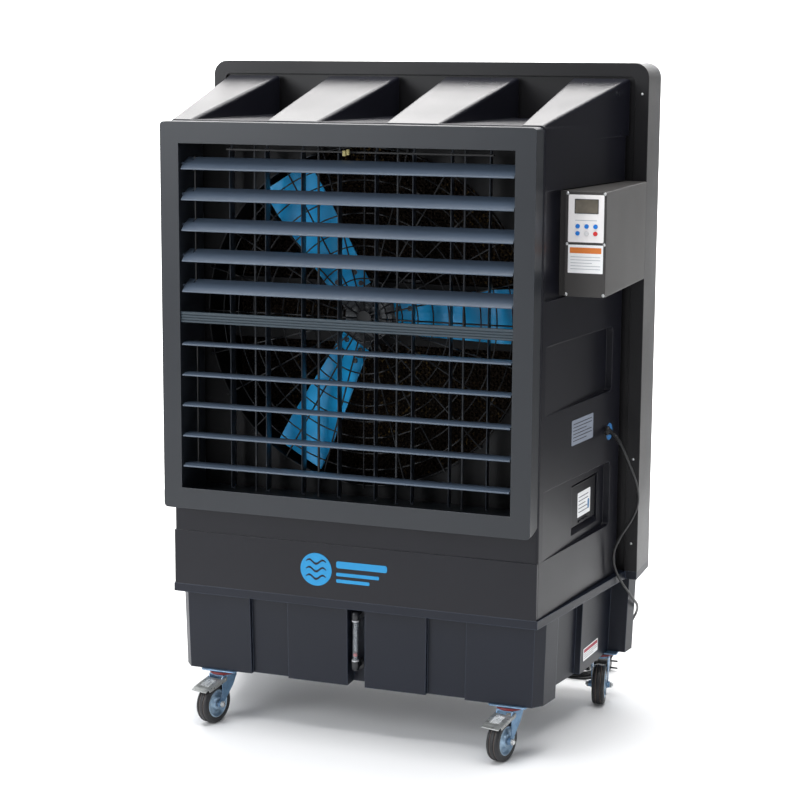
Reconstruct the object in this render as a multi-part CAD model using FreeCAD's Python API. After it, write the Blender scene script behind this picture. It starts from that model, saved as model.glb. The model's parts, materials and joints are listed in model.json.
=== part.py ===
import FreeCAD, Part
import math
import os

from FreeCAD import Vector as V

# Free-standing evaporative cooler on four swivel casters.
# Frame: +Z up, front faces -Y, origin on the floor midway between the louvre
# frame's front face and the rear housing's back face.  All sizes in millimetres.

# ---------------------------------------------------------------- driving sizes
HEIGHT = 1614.0            # floor to the top of the rear housing
HALF_WIDTH = 576.0         # rear housing, half of its width
HALF_DEPTH = 348.0         # louvre frame front to rear housing back, halved
WALL = 4.0                 # moulded wall thickness

CASE_FRONT_Y = -288.0      # casing front face
CASE_REAR_Y = 190.0        # rear end of the flared casing
HOUSING_FRONT_Y = 212.0    # front face of the rear housing
CASE_HALF_FRONT = 457.0    # half width of the casing at its front face
CASE_FLARE = 0.146         # sideways growth of the casing per mm of depth
CASE_BASE_Z = 353.0
CASE_TOP_Z = 1478.0
RAMP_TOP_Z = 1578.0
RAMP_REAR_Y = 206.0
BAND_TOP_Z = 487.0         # top of the proud lower band
BAND_PROUD = 3.0
BAND_RETURN = 12.0         # how far the band reaches back into the front wall
NECK_HALF_WIDTH = 512.0    # neck joining the casing to the rear housing
NECK_TOP_Z = 1462.0

FAN_Z = 1017.0             # height of the fan axis, also the frame's middle
SHROUD_HOLE_R = 405.0

FRAME_HALF_WIDTH = 455.0
FRAME_BOTTOM_Z = 557.0
FRAME_TOP_Z = 1476.0
OUTLET_HALF_WIDTH = 408.0
OUTLET_BOTTOM_Z = 607.0
OUTLET_TOP_Z = 1426.0
DUCT_HALF_WIDTH = 411.0    # inside of the duct behind the frame's lip
DUCT_BOTTOM_Z = 590.0
DUCT_TOP_Z = 1440.0
DUCT_REAR_Y = -208.0
SHEET = 3.0                # thickness of the frame's walls

CENTRE_BAR_Z = (1005.0, 1030.0)
LOUVRE_CHORD = 52.0
LOUVRE_Y = -320.0
LOUVRE_HALF_LENGTH = 404.0
UPPER_LOUVRE_Z = (1090.5, 1162.5, 1234.5, 1306.5, 1378.5)
LOWER_LOUVRE_Z = (659.8, 733.1, 806.4, 879.7, 953.0)
UPPER_LOUVRE_TILT = 30.0   # degrees, front edge down
LINK_X = -386.0
LINK_ARM = 21.0            # pivot to link pin
PIN_R = 3.0
PIN_CLEARANCE = 0.06

VANE_Y = -240.0
VANE_PITCH = 91.5
VANE_COUNT = 8
VANE_CHORD = 55.0
VANE_SWING = 12.0          # degrees the vanes stand swung
VANE_BOTTOM_Z = 597.0
VANE_TOP_Z = 1406.0
VANE_ARM = 21.0

GUARD_Y = -196.0
GUARD_RINGS = 10
GUARD_FIRST_R = 56.0
GUARD_PITCH = 38.5
GUARD_SPOKES = 24
GUARD_SPOKE_START_R = (16.0, 54.0)    # every other spoke reaches the hub plate
GUARD_HUB_R = 18.0
GUARD_POSTS = 12           # short posts that hold the guard to the bulkhead
GUARD_BAR_X = (-260.0, -98.0, 98.0, 260.0)
GUARD_BAR_Y = -243.0

FAN_Y = -166.0
BLADE_COUNT = 3
BLADE_FIRST_ANGLE = 3.0
BLADE_ROOT_R = 62.0

TANK_BOTTOM_Z = 130.0
TANK_TOP_Z = 333.0
TANK_GROWTH = 1.012        # the tank's plan grows by this from bottom to top
TANK_WALL = 5.0
RIM_HALF_FRONT = 460.0
RIM_HALF_REAR = 547.0

BOX_FRONT_Y = -193.0
BOX_BOTTOM_Z = 1092.0
BOX_TOP_Z = 1330.0
NICHE_DEPTH = 8.0
BUTTON_R = 5.0
BUTTON_CENTRES = ((511.0, 1252.0), (531.5, 1252.0), (552.0, 1252.0),
                  (511.0, 1236.0), (531.5, 1236.0), (552.0, 1236.0))

GAUGE_X = -6.0
GAUGE_Y = -236.0
GAUGE_LOW_Z = 176.0
GAUGE_HIGH_Z = 304.0
GAUGE_TUBE_R = 7.0
GAUGE_BORE_R = 5.5
BALL_R = 4.8
BALL_Z = 205.0

WHEEL_R = 50.0
WHEEL_HALF_WIDTH = 16.0
TRAIL = 38.0
CASTER_TOP_Z = 130.0
PLATE_THICK = 3.0
# caster name: swivel axis x, y, and how far the fork is turned about it (degrees)
CASTERS = {"front_left": (-362.0, -225.0, -14.0),
           "front_right": (379.0, -225.0, -13.0),
           "rear_left": (-480.0, 253.0, -4.0),
           "rear_right": (480.0, 253.0, 9.0)}

CORD_R = 3.25
# the free cord's route from the gland to the coil, laid by hand
CORD_ROUTE = ((533.9, 102.2, 720.5), (545.8, 100.4, 710.2), (558.6, 103.2, 688.5),
              (570.0, 116.0, 652.0), (581.0, 136.0, 614.0), (587.0, 158.0, 573.0),
              (584.0, 173.0, 531.0), (568.0, 164.0, 492.0), (547.0, 147.0, 458.0),
              (533.0, 131.0, 420.0), (535.0, 137.0, 382.0), (546.0, 160.0, 342.0),
              (559.0, 197.0, 304.0), (564.0, 244.0, 272.0), (563.0, 294.0, 244.0),
              (551.0, 340.0, 212.0), (529.0, 373.0, 174.0), (503.0, 388.0, 130.0),
              (482.0, 391.0, 86.0), (466.0, 388.0, 46.0), (446.0, 383.0, 17.0),
              (418.0, 380.0, 4.4), (388.0, 380.0, 3.4))
COIL_CENTRE = (372.0, 430.5)
COIL_MEAN_R = 44.0
COIL_COLUMNS = 3
COIL_ROWS = 3
PLUG_AT = (418.0, 481.0)       # x where the plug's body begins, and y of its axis
PLUG_R = 18.0
PLUG_LENGTH = 34.0
PLUG_ROUNDING = 3.0
PLUG_NOSE_LENGTH = 28.0
PLUG_NOSE_R = (5.0, 9.0)
PLUG_PIN_R = 2.4
PLUG_PIN_SPACING = 19.0
PLUG_PIN_LENGTH = 19.0


# ---------------------------------------------------------------- small helpers
def box(x0, x1, y0, y1, z0, z1):
    return Part.makeBox(x1 - x0, y1 - y0, z1 - z0, V(x0, y0, z0))


def rod(radius, start, end):
    start = V(*start)
    line = V(*end) - start
    return Part.makeCylinder(radius, line.Length, start, line)


def closed_wire(points):
    corners = [V(*point) for point in points]
    return Part.makePolygon(corners + corners[:1])


def prism(points, direction):
    return Part.Face(closed_wire(points)).extrude(V(*direction))


def loft(*sections):
    return Part.makeLoft([closed_wire(section) for section in sections], True, True)


def rect_at_y(y, x0, x1, z0, z1):
    return ((x0, y, z0), (x1, y, z0), (x1, y, z1), (x0, y, z1))


def fuse_all(shapes):
    return shapes[0].multiFuse(shapes[1:]).removeSplitter()


def mirrored(shape):
    return shape.mirror(V(0, 0, 0), V(1, 0, 0))


def turned(shape, centre, axis, degrees):
    turned_shape = shape.copy()
    turned_shape.rotate(V(*centre), V(*axis), degrees)
    return turned_shape


def fillet_edges(shape, radius, wanted):
    edges = [edge for edge in shape.Edges if wanted(edge)]
    return shape.makeFillet(radius, edges)


def runs_along(edge, axis):
    if len(edge.Vertexes) != 2:
        return False
    span = edge.Vertexes[1].Point - edge.Vertexes[0].Point
    others = [abs(value) for index, value in enumerate(span) if index != axis]
    return max(others) < 1e-6


def save(name, shape):
    shape.exportStep("parts/%s.step" % name)


def wall_x(y):
    """Outer face of the flared side wall at depth y."""
    return CASE_HALF_FRONT + CASE_FLARE * (y - CASE_FRONT_Y)


# ---------------------------------------------------------------- casing
INNER_RAMP = ((81.0, 213.0), (61.2, 251.6))     # front and rear x spans
OUTER_RAMP = ((400.0, 455.0), (388.5, 531.0))
RAMP_ROOT_Z = 1440.0
RAMP_EDGE_R = 8.0
RECESS_FRONT_Y = -262.0
RECESS_REAR_Y = 138.0
RECESS_DEPTH = 16.0
UPPER_RECESS_Z = (824.0, 982.0)
LOWER_RECESS_Z = (BAND_TOP_Z, 648.0)
NICHE_FRONT_Y = -273.0
NICHE_Z = (1086.0, 1333.0)
REACH = 60.0               # how far cutters stand out of the wall


def flared_block(inset, front_y, rear_y, z0, z1):
    spans = [wall_x(y) - inset for y in (front_y, rear_y)]
    return loft(rect_at_y(front_y, -spans[0], spans[0], z0, z1),
                rect_at_y(rear_y, -spans[1], spans[1], z0, z1))


def ramp(spans, inset):
    front, rear = spans
    block = loft(
        rect_at_y(CASE_FRONT_Y + inset, front[0] + inset, front[1] - inset,
                  RAMP_ROOT_Z, CASE_TOP_Z + 1 - inset),
        rect_at_y(RAMP_REAR_Y - inset, rear[0] + inset, rear[1] - inset,
                  RAMP_ROOT_Z, RAMP_TOP_Z - inset))
    if inset > 0:
        return block
    return fillet_edges(block, RAMP_EDGE_R, is_ramp_top_edge)


def is_ramp_top_edge(edge):
    ends = sorted(vertex.Point.z for vertex in edge.Vertexes)
    climbs = ends[1] > RAMP_TOP_Z - 1 and ends[0] > CASE_TOP_Z
    return climbs


def all_ramps(inset):
    right = [ramp(INNER_RAMP, inset), ramp(OUTER_RAMP, inset)]
    return right + [mirrored(shape) for shape in right]


def side_cutter(front_y, rear_y, z_span, depths, grow, corner_r):
    """Wedge that cuts the side wall: depths are below the wall, front and rear."""
    plan = ((wall_x(front_y) - depths[0] - grow, front_y - grow),
            (wall_x(front_y) + REACH, front_y - grow),
            (wall_x(rear_y) + REACH, rear_y + grow),
            (wall_x(rear_y) - depths[1] - grow, rear_y + grow))
    z0 = z_span[0] - grow
    height = z_span[1] - z_span[0] + 2 * grow
    cutter = prism([(x, y, z0) for x, y in plan], (0, 0, height))
    if corner_r == 0:
        return cutter
    return fillet_edges(cutter, corner_r,
                        lambda edge: min(v.Point.y for v in edge.Vertexes) > rear_y - 1
                        and not runs_along(edge, 2))


def recess_cutters(grow):
    depths = (0.0, RECESS_DEPTH)
    upper = side_cutter(RECESS_FRONT_Y, RECESS_REAR_Y, UPPER_RECESS_Z, depths, grow, 14.0)
    lower = side_cutter(RECESS_FRONT_Y, RECESS_REAR_Y, LOWER_RECESS_Z, depths, grow, 14.0)
    return [upper, lower, mirrored(upper), mirrored(lower)]


def niche_cutter(grow):
    depths = (NICHE_DEPTH, NICHE_DEPTH)
    return side_cutter(NICHE_FRONT_Y, CASE_REAR_Y + REACH, NICHE_Z, depths, grow, 0)


def casing_outside():
    body = flared_block(0.0, CASE_FRONT_Y, CASE_REAR_Y, CASE_BASE_Z, CASE_TOP_Z)
    body = fillet_edges(body, RAMP_EDGE_R, is_casing_edge)
    band = box(-CASE_HALF_FRONT, CASE_HALF_FRONT, CASE_FRONT_Y - BAND_PROUD,
               CASE_FRONT_Y + BAND_RETURN, CASE_BASE_Z, BAND_TOP_Z)
    neck = box(-NECK_HALF_WIDTH, NECK_HALF_WIDTH, CASE_REAR_Y - 10, HOUSING_FRONT_Y,
               CASE_BASE_Z, NECK_TOP_Z)
    return fuse_all([body, band, neck] + all_ramps(0.0))


def is_casing_edge(edge):
    front = max(vertex.Point.y for vertex in edge.Vertexes) < CASE_FRONT_Y + 1
    top = min(vertex.Point.z for vertex in edge.Vertexes) > CASE_TOP_Z - 1
    return runs_along(edge, 2) and front or top and not runs_along(edge, 0)


def casing_inside():
    body = flared_block(WALL, CASE_FRONT_Y + WALL, CASE_REAR_Y - WALL,
                        CASE_BASE_Z - 1, CASE_TOP_Z - WALL)
    neck = box(-NECK_HALF_WIDTH + WALL, NECK_HALF_WIDTH - WALL, CASE_REAR_Y - 12,
               HOUSING_FRONT_Y + 1, CASE_BASE_Z - 1, NECK_TOP_Z - WALL)
    inside = fuse_all([body, neck] + all_ramps(WALL))
    for cutter in recess_cutters(WALL) + [niche_cutter(WALL), door_pocket(WALL)]:
        inside = inside.cut(cutter)
    return inside


def make_casing():
    outside = casing_outside()
    for cutter in recess_cutters(0.0) + [niche_cutter(0.0), door_pocket(0.0)]:
        outside = outside.cut(cutter)
    shell = outside.cut(casing_inside())
    mouth = box(-421, 421, CASE_FRONT_Y - 5, CASE_FRONT_Y + 10, 582, 1448)
    gland_hole = on_side_wall(rod(GLAND_THREAD_R, (-20, 0, 0), (20, 0, 0)), GLAND_Y, GLAND_Z)
    shell = shell.cut(mouth).cut(fill_hole()).cut(gland_hole)
    return shell.fuse(door_sill()).removeSplitter()


# ---------------------------------------------------------------- fill door
FLOOR_SLOPE = ((wall_x(RECESS_REAR_Y) - RECESS_DEPTH - wall_x(RECESS_FRONT_Y))
               / (RECESS_REAR_Y - RECESS_FRONT_Y))
DOOR_Y = 7.0
DOOR_HALF_LENGTH = 83.0
DOOR_BOTTOM_Z = 522.0
DOOR_PIVOT = (-6.0, 620.0)     # outward position and height of the hinge line
POCKET_DEPTH = 10.0
POCKET_HALF_LENGTH = 87.0
POCKET_Z = (506.0, 628.0)
BARREL_R = 2.5


def on_recess_floor(shape):
    """Local x points out of the recess floor and local y runs rearwards along it."""
    x = wall_x(RECESS_FRONT_Y) + FLOOR_SLOPE * (DOOR_Y - RECESS_FRONT_Y)
    turn = FreeCAD.Rotation(V(0, 0, 1), -math.degrees(math.atan(FLOOR_SLOPE)))
    placed = shape.copy()
    placed.Placement = FreeCAD.Placement(V(x, DOOR_Y, 0), turn)
    return placed


def door_pocket(grow):
    return on_recess_floor(box(-POCKET_DEPTH - grow, REACH,
                               -POCKET_HALF_LENGTH - grow, POCKET_HALF_LENGTH + grow,
                               POCKET_Z[0] - grow, POCKET_Z[1] + grow))


def fill_hole():
    return on_recess_floor(box(-30, REACH, -62, 62, 534, 608))


def door_sill():
    return on_recess_floor(prism(((-POCKET_DEPTH, -POCKET_HALF_LENGTH, POCKET_Z[0]),
                                  (0, -POCKET_HALF_LENGTH, POCKET_Z[0]),
                                  (-POCKET_DEPTH, -POCKET_HALF_LENGTH, DOOR_BOTTOM_Z - 2)),
                                 (0, 2 * POCKET_HALF_LENGTH, 0)))


def make_fill_door():
    x, z = DOOR_PIVOT
    panel = box(x - 1.5, x + 2, -DOOR_HALF_LENGTH, DOOR_HALF_LENGTH, DOOR_BOTTOM_Z, z)
    barrel = rod(BARREL_R, (x, -DOOR_HALF_LENGTH, z), (x, DOOR_HALF_LENGTH, z))
    pin = rod(1.5, (x, 0.4 - POCKET_HALF_LENGTH, z), (x, POCKET_HALF_LENGTH - 0.4, z))
    lip = box(x + 2, x + 5, -30, 30, DOOR_BOTTOM_Z + 4, DOOR_BOTTOM_Z + 8)
    return on_recess_floor(fuse_all([panel, barrel, pin, lip]))


# ---------------------------------------------------------------- rear housing, pad, water
HOUSING_WALL = 4.0
HOUSING_CORNER_R = 36.0
LIP_DEPTH = 8.0
LIP_WIDTH = 33.0
PAD_HALF_WIDTH = 520.0
PAD_Y = (236.0, 334.0)
PAD_PLEATS = 52
PAD_SHEET = 5.0            # thickness of the pleated sheet measured along Y
PAD_Z = (372.0, 1545.0)
GRILLE_Y = 338.0
SHELF_HALF_WIDTH = 523.0   # shelf that carries the pad
PIPE_R = 8.0
PIPE_X = -534.0
PIPE_Y = 285.0
PIPE_TOP_Z = 1572.0
PUMP_X = -455.0


def rounded_block(x_half, y0, y1, z0, z1, radius):
    block = box(-x_half, x_half, y0, y1, z0, z1)
    return fillet_edges(block, radius, lambda edge: runs_along(edge, 1)
                        and edge.Vertexes[0].Point.z > z1 - 1)


def make_pad_housing():
    outside = rounded_block(HALF_WIDTH, HOUSING_FRONT_Y, HALF_DEPTH, CASE_BASE_Z, HEIGHT,
                            HOUSING_CORNER_R)
    inside = rounded_block(HALF_WIDTH - HOUSING_WALL, HOUSING_FRONT_Y + LIP_DEPTH + HOUSING_WALL,
                           HALF_DEPTH + 1, CASE_BASE_Z - 1, HEIGHT - HOUSING_WALL,
                           HOUSING_CORNER_R - HOUSING_WALL)
    front_step = rounded_block(HALF_WIDTH - LIP_WIDTH, HOUSING_FRONT_Y - 1,
                               HOUSING_FRONT_Y + LIP_DEPTH, CASE_BASE_Z - 1,
                               HEIGHT - LIP_WIDTH, HOUSING_CORNER_R / 3)
    air_way = box(-NECK_HALF_WIDTH + WALL, NECK_HALF_WIDTH - WALL, HOUSING_FRONT_Y - 1,
                  HOUSING_FRONT_Y + 30, CASE_BASE_Z - 1, NECK_TOP_Z - WALL)
    collar = box(-NECK_HALF_WIDTH, NECK_HALF_WIDTH, HOUSING_FRONT_Y,
                 HOUSING_FRONT_Y + LIP_DEPTH, CASE_BASE_Z, NECK_TOP_Z)
    body = outside.cut(inside).cut(front_step).fuse(collar).cut(air_way)
    return fuse_all([body, make_pad_shelf(), make_intake_grille()])


def make_pad_shelf():
    shelf = box(-SHELF_HALF_WIDTH, SHELF_HALF_WIDTH, HOUSING_FRONT_Y + LIP_DEPTH, GRILLE_Y,
                PAD_Z[0] - 6, PAD_Z[0])
    drains = 8
    pitch = 2 * SHELF_HALF_WIDTH / drains
    for index in range(drains):
        x0 = -SHELF_HALF_WIDTH + (index + 0.15) * pitch
        shelf = shelf.cut(box(x0, x0 + 0.7 * pitch, PAD_Y[0] + 12, PAD_Y[1] - 12,
                              PAD_Z[0] - 7, PAD_Z[0] + 1))
    return shelf


def make_cooling_pad():
    """One pleated sheet: it zigzags between the pad's front and back planes."""
    pitch = 2 * PAD_HALF_WIDTH / PAD_PLEATS
    swing = PAD_Y[1] - PAD_Y[0] - PAD_SHEET
    line = [(-PAD_HALF_WIDTH + index * pitch, PAD_Y[0] + swing * (index % 2))
            for index in range(PAD_PLEATS + 1)]
    outline = [(x, y, PAD_Z[0]) for x, y in line]
    outline += [(x, y + PAD_SHEET, PAD_Z[0]) for x, y in reversed(line)]
    return prism(outline, (0, 0, PAD_Z[1] - PAD_Z[0]))


def make_intake_grille():
    half = HALF_WIDTH - HOUSING_WALL
    top = HEIGHT - HOUSING_WALL
    bottom = CASE_BASE_Z
    plate = rounded_block(half, GRILLE_Y, HALF_DEPTH, bottom, top, HOUSING_CORNER_R - HOUSING_WALL)
    columns = 7
    rows = 12
    border = 32.0
    bar = 9.0
    cell_w = (2 * half - 2 * border - (columns - 1) * bar) / columns
    cell_h = (top - bottom - 2 * border - (rows - 1) * bar) / rows
    windows = []
    for column in range(columns):
        for row in range(rows):
            x0 = -half + border + column * (cell_w + bar)
            z0 = bottom + border + row * (cell_h + bar)
            windows.append(box(x0, x0 + cell_w, GRILLE_Y - 1, HALF_DEPTH + 1, z0, z0 + cell_h))
    return plate.cut(Part.makeCompound(windows))


def bent_path(points, radii):
    """Straight runs joined by tangent arcs; returns the wire."""
    corners = [V(*point) for point in points]
    edges = []
    start = corners[0]
    for index in range(1, len(corners) - 1):
        before = (corners[index - 1] - corners[index]).normalize()
        after = (corners[index + 1] - corners[index]).normalize()
        turn = math.pi - before.getAngle(after)
        setback = radii[index - 1] * math.tan(turn / 2)
        arc_in = corners[index] + before * setback
        arc_out = corners[index] + after * setback
        middle_line = (before + after).normalize()
        to_centre = radii[index - 1] / math.cos(turn / 2)
        arc_mid = corners[index] + middle_line * (to_centre - radii[index - 1])
        edges.append(Part.LineSegment(start, arc_in).toShape())
        edges.append(Part.Arc(arc_in, arc_mid, arc_out).toShape())
        start = arc_out
    edges.append(Part.LineSegment(start, corners[-1]).toShape())
    return Part.Wire(edges)


def tube_along(path, radius):
    first = path.OrderedEdges[0]
    direction = first.tangentAt(first.FirstParameter)
    profile = Part.Wire(Part.makeCircle(radius, path.OrderedVertexes[0].Point, direction))
    return path.makePipeShell([profile], True, True)


def make_water_pipe():
    route = ((PUMP_X, PIPE_Y, 210.0), (PUMP_X, PIPE_Y, 262.0), (PIPE_X, PIPE_Y, 262.0),
             (PIPE_X, PIPE_Y, PIPE_TOP_Z), (480.0, PIPE_Y, PIPE_TOP_Z))
    return tube_along(bent_path(route, (22.0, 22.0, 22.0)), PIPE_R)


def make_pump():
    body = box(PUMP_X - 34, PUMP_X + 34, PIPE_Y - 34, PIPE_Y + 34, TANK_BOTTOM_Z + TANK_WALL, 196)
    body = fillet_edges(body, 8.0, lambda edge: runs_along(edge, 2))
    return body.fuse(rod(12.0, (PUMP_X, PIPE_Y, 196), (PUMP_X, PIPE_Y, 210))).removeSplitter()


# ---------------------------------------------------------------- tank
def tank_side_x(y, inset):
    return 458.0 + 0.18 * (y + 225.0) - inset


# right half of the tank's plan at its bottom, from the front channel round to the rear
TANK_PLAN = ((22, -205), (22, -247), (176, -247), (176, -235), (274, -235), (274, -247),
             (438, -247), (tank_side_x(-222, 0), -222), (tank_side_x(-158, 0), -158),
             (tank_side_x(-158, 40), -152), (tank_side_x(34, 40), 34),
             (tank_side_x(34, 25), 34), (498, 247), (tank_side_x(247, 0), 247),
             (tank_side_x(290, 0), 290), (528, 332))


def tank_block(inset, z0, z1):
    right = [V(x, y, 0) for x, y in TANK_PLAN]
    left = [V(-point.x, point.y, 0) for point in reversed(right)]
    wire = Part.makePolygon(right + left + right[:1])
    if inset > 0:
        wire = Part.Face(wire).makeOffset2D(-inset, 2).OuterWire
    corners = [vertex.Point for vertex in wire.OrderedVertexes]
    levels = []
    for z in (z0, z1):
        part_way = (z - TANK_BOTTOM_Z) / (TANK_TOP_Z - TANK_BOTTOM_Z)
        growth = 1 + (TANK_GROWTH - 1) * part_way
        levels.append([(point.x * growth, point.y * growth, z) for point in corners])
    return loft(*levels)


def make_tank():
    rim_plan = ((-RIM_HALF_FRONT, CASE_FRONT_Y - BAND_PROUD), (RIM_HALF_FRONT, CASE_FRONT_Y - BAND_PROUD),
                (RIM_HALF_REAR, HOUSING_FRONT_Y), (HALF_WIDTH, HOUSING_FRONT_Y),
                (HALF_WIDTH, HALF_DEPTH), (-HALF_WIDTH, HALF_DEPTH),
                (-HALF_WIDTH, HOUSING_FRONT_Y), (-RIM_HALF_REAR, HOUSING_FRONT_Y))
    rim = prism([(x, y, TANK_TOP_Z) for x, y in rim_plan], (0, 0, CASE_BASE_Z - TANK_TOP_Z))
    shell = tank_block(0.0, TANK_BOTTOM_Z, TANK_TOP_Z).fuse(rim)
    hollow = tank_block(TANK_WALL, TANK_BOTTOM_Z + TANK_WALL, CASE_BASE_Z + 2)
    return shell.cut(hollow).removeSplitter()


# ---------------------------------------------------------------- level gauge
def make_level_gauge():
    parts = [make_gauge_tube()]
    for z, way in ((GAUGE_LOW_Z, 1), (GAUGE_HIGH_Z, -1)):
        cup = rod(10.0, (GAUGE_X, GAUGE_Y, z - 8 * way), (GAUGE_X, GAUGE_Y, z + 12 * way))
        bore = rod(GAUGE_TUBE_R, (GAUGE_X, GAUGE_Y, z + 5 * way),
                   (GAUGE_X, GAUGE_Y, z + 13 * way))
        wall_y = gauge_wall_y(z)
        stub = rod(7.0, (GAUGE_X, GAUGE_Y, z), (GAUGE_X, wall_y, z))
        collar = rod(14.0, (GAUGE_X, wall_y - 4, z), (GAUGE_X, wall_y - 0.05, z))
        parts.append(fuse_all([cup, stub, collar]).cut(bore))
    return Part.makeCompound(parts)


def gauge_wall_y(z):
    part_way = (z - TANK_BOTTOM_Z) / (TANK_TOP_Z - TANK_BOTTOM_Z)
    return -205.0 * (1 + (TANK_GROWTH - 1) * part_way) - 0.3


def make_gauge_tube():
    low = GAUGE_LOW_Z + 5
    high = GAUGE_HIGH_Z - 5
    tube = rod(GAUGE_TUBE_R, (GAUGE_X, GAUGE_Y, low), (GAUGE_X, GAUGE_Y, high))
    return tube.cut(rod(GAUGE_BORE_R, (GAUGE_X, GAUGE_Y, low - 1), (GAUGE_X, GAUGE_Y, high + 1)))


def make_gauge_ball():
    return Part.makeSphere(BALL_R, V(GAUGE_X, GAUGE_Y, BALL_Z))


# ---------------------------------------------------------------- louvre frame and louvres
def make_louvre_frame():
    y0 = -HALF_DEPTH
    outside = box(-FRAME_HALF_WIDTH, FRAME_HALF_WIDTH, y0, CASE_FRONT_Y,
                  FRAME_BOTTOM_Z, FRAME_TOP_Z)
    outside = fillet_edges(outside, 10.0, lambda edge: runs_along(edge, 1))
    hollow = box(-FRAME_HALF_WIDTH + SHEET, FRAME_HALF_WIDTH - SHEET, y0 + SHEET, CASE_FRONT_Y + 1,
                 FRAME_BOTTOM_Z + 18, FRAME_TOP_Z - SHEET)
    duct_z = (DUCT_BOTTOM_Z - SHEET, DUCT_TOP_Z + SHEET)
    duct_half = DUCT_HALF_WIDTH + SHEET
    duct = box(-duct_half, duct_half, y0 + SHEET, DUCT_REAR_Y, *duct_z)
    slope = prism(((-500, y0 + SHEET, FRAME_BOTTOM_Z - 1), (-500, CASE_FRONT_Y, FRAME_BOTTOM_Z - 1),
                   (-500, CASE_FRONT_Y, FRAME_BOTTOM_Z + 15)), (1000, 0, 0))
    opening = box(-OUTLET_HALF_WIDTH, OUTLET_HALF_WIDTH, y0 - 1, y0 + SHEET + 1,
                  OUTLET_BOTTOM_Z, OUTLET_TOP_Z)
    air_way = box(-DUCT_HALF_WIDTH, DUCT_HALF_WIDTH, y0 + SHEET, DUCT_REAR_Y + 1,
                  DUCT_BOTTOM_Z, DUCT_TOP_Z)
    frame = outside.cut(hollow).cut(slope).fuse(duct).cut(opening).cut(air_way)
    return frame.cut(Part.makeCompound(louvre_pin_holes() + vane_pin_holes())).removeSplitter()


def louvre_pin_holes():
    reach = DUCT_HALF_WIDTH + SHEET + 1
    radius = PIN_R + PIN_CLEARANCE
    holes = []
    for z in UPPER_LOUVRE_Z + LOWER_LOUVRE_Z:
        for side in (-1, 1):
            holes.append(rod(radius, (side * (reach - 6), LOUVRE_Y, z), (side * reach, LOUVRE_Y, z)))
    return holes


def vane_centres():
    first = -VANE_PITCH * (VANE_COUNT - 1) / 2
    return [first + VANE_PITCH * index for index in range(VANE_COUNT)]


def vane_pin_holes():
    radius = PIN_R + PIN_CLEARANCE
    holes = []
    for x in vane_centres():
        holes.append(rod(radius, (x, VANE_Y, DUCT_BOTTOM_Z - 5), (x, VANE_Y, DUCT_BOTTOM_Z + 1)))
        holes.append(rod(radius, (x, VANE_Y, DUCT_TOP_Z - 1), (x, VANE_Y, DUCT_TOP_Z + 5)))
    return holes


def make_centre_bar():
    """Ribbed fixed bar between the two louvre groups."""
    low, high = CENTRE_BAR_Z
    front = -HALF_DEPTH + 5.0
    ribs = 4
    rib = (high - low) / ribs
    profile = [(0, front + 14, low), (0, front + 2, low)]
    for index in range(ribs):
        z = low + index * rib
        profile += [(0, front, z + 0.18 * rib), (0, front, z + 0.72 * rib),
                    (0, front + 2, z + 0.9 * rib)]
    profile += [(0, front + 2, high), (0, front + 14, high)]
    bar = prism(profile, (2 * DUCT_HALF_WIDTH, 0, 0))
    bar.translate(V(-DUCT_HALF_WIDTH, 0, 0))
    return bar


def louvre_profile():
    half = LOUVRE_CHORD / 2
    nose = Part.Arc(V(0, -half + 2, -2), V(0, -half, 0), V(0, -half + 2, 2)).toShape()
    crown = Part.Arc(V(0, -half + 2, 2), V(0, -6, 4.6), V(0, half, 1)).toShape()
    tail = Part.LineSegment(V(0, half, 1), V(0, half, -1)).toShape()
    belly = Part.Arc(V(0, half, -1), V(0, -6, -0.6), V(0, -half + 2, -2)).toShape()
    return Part.Face(Part.Wire([nose, crown, tail, belly]))


def make_louvre(z, tilt):
    blade = louvre_profile().extrude(V(2 * LOUVRE_HALF_LENGTH, 0, 0))
    blade.translate(V(-LOUVRE_HALF_LENGTH, 0, 0))
    pin_end = DUCT_HALF_WIDTH + 2.5
    pins = [rod(PIN_R, (side * (LOUVRE_HALF_LENGTH - 1), 0, 0), (side * pin_end, 0, 0))
            for side in (-1, 1)]
    slot = box(LINK_X - 2.2, LINK_X + 2.2, LINK_ARM - 16, LOUVRE_CHORD, -9, 9)
    link_pin = rod(2.0, (LINK_X - 3, LINK_ARM, 0), (LINK_X + 3, LINK_ARM, 0))
    louvre = fuse_all([blade] + pins).cut(slot).fuse(link_pin).removeSplitter()
    louvre.translate(V(0, LOUVRE_Y, z))
    return turned(louvre, (0, LOUVRE_Y, z), (1, 0, 0), tilt)


def make_louvre_link(heights, tilt):
    """Flat bar that joins the rear edges of one louvre group."""
    arm = math.radians(tilt)
    y = LOUVRE_Y + LINK_ARM * math.cos(arm)
    rise = LINK_ARM * math.sin(arm)
    z0 = min(heights) + rise
    z1 = max(heights) + rise
    bar = box(LINK_X - 1.5, LINK_X + 1.5, y - 3.2, y + 3.2, z0 - 5, z1 + 5)
    for z in heights:
        bar = bar.cut(rod(2.06, (LINK_X - 5, y, z + rise), (LINK_X + 5, y, z + rise)))
    return bar


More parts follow.
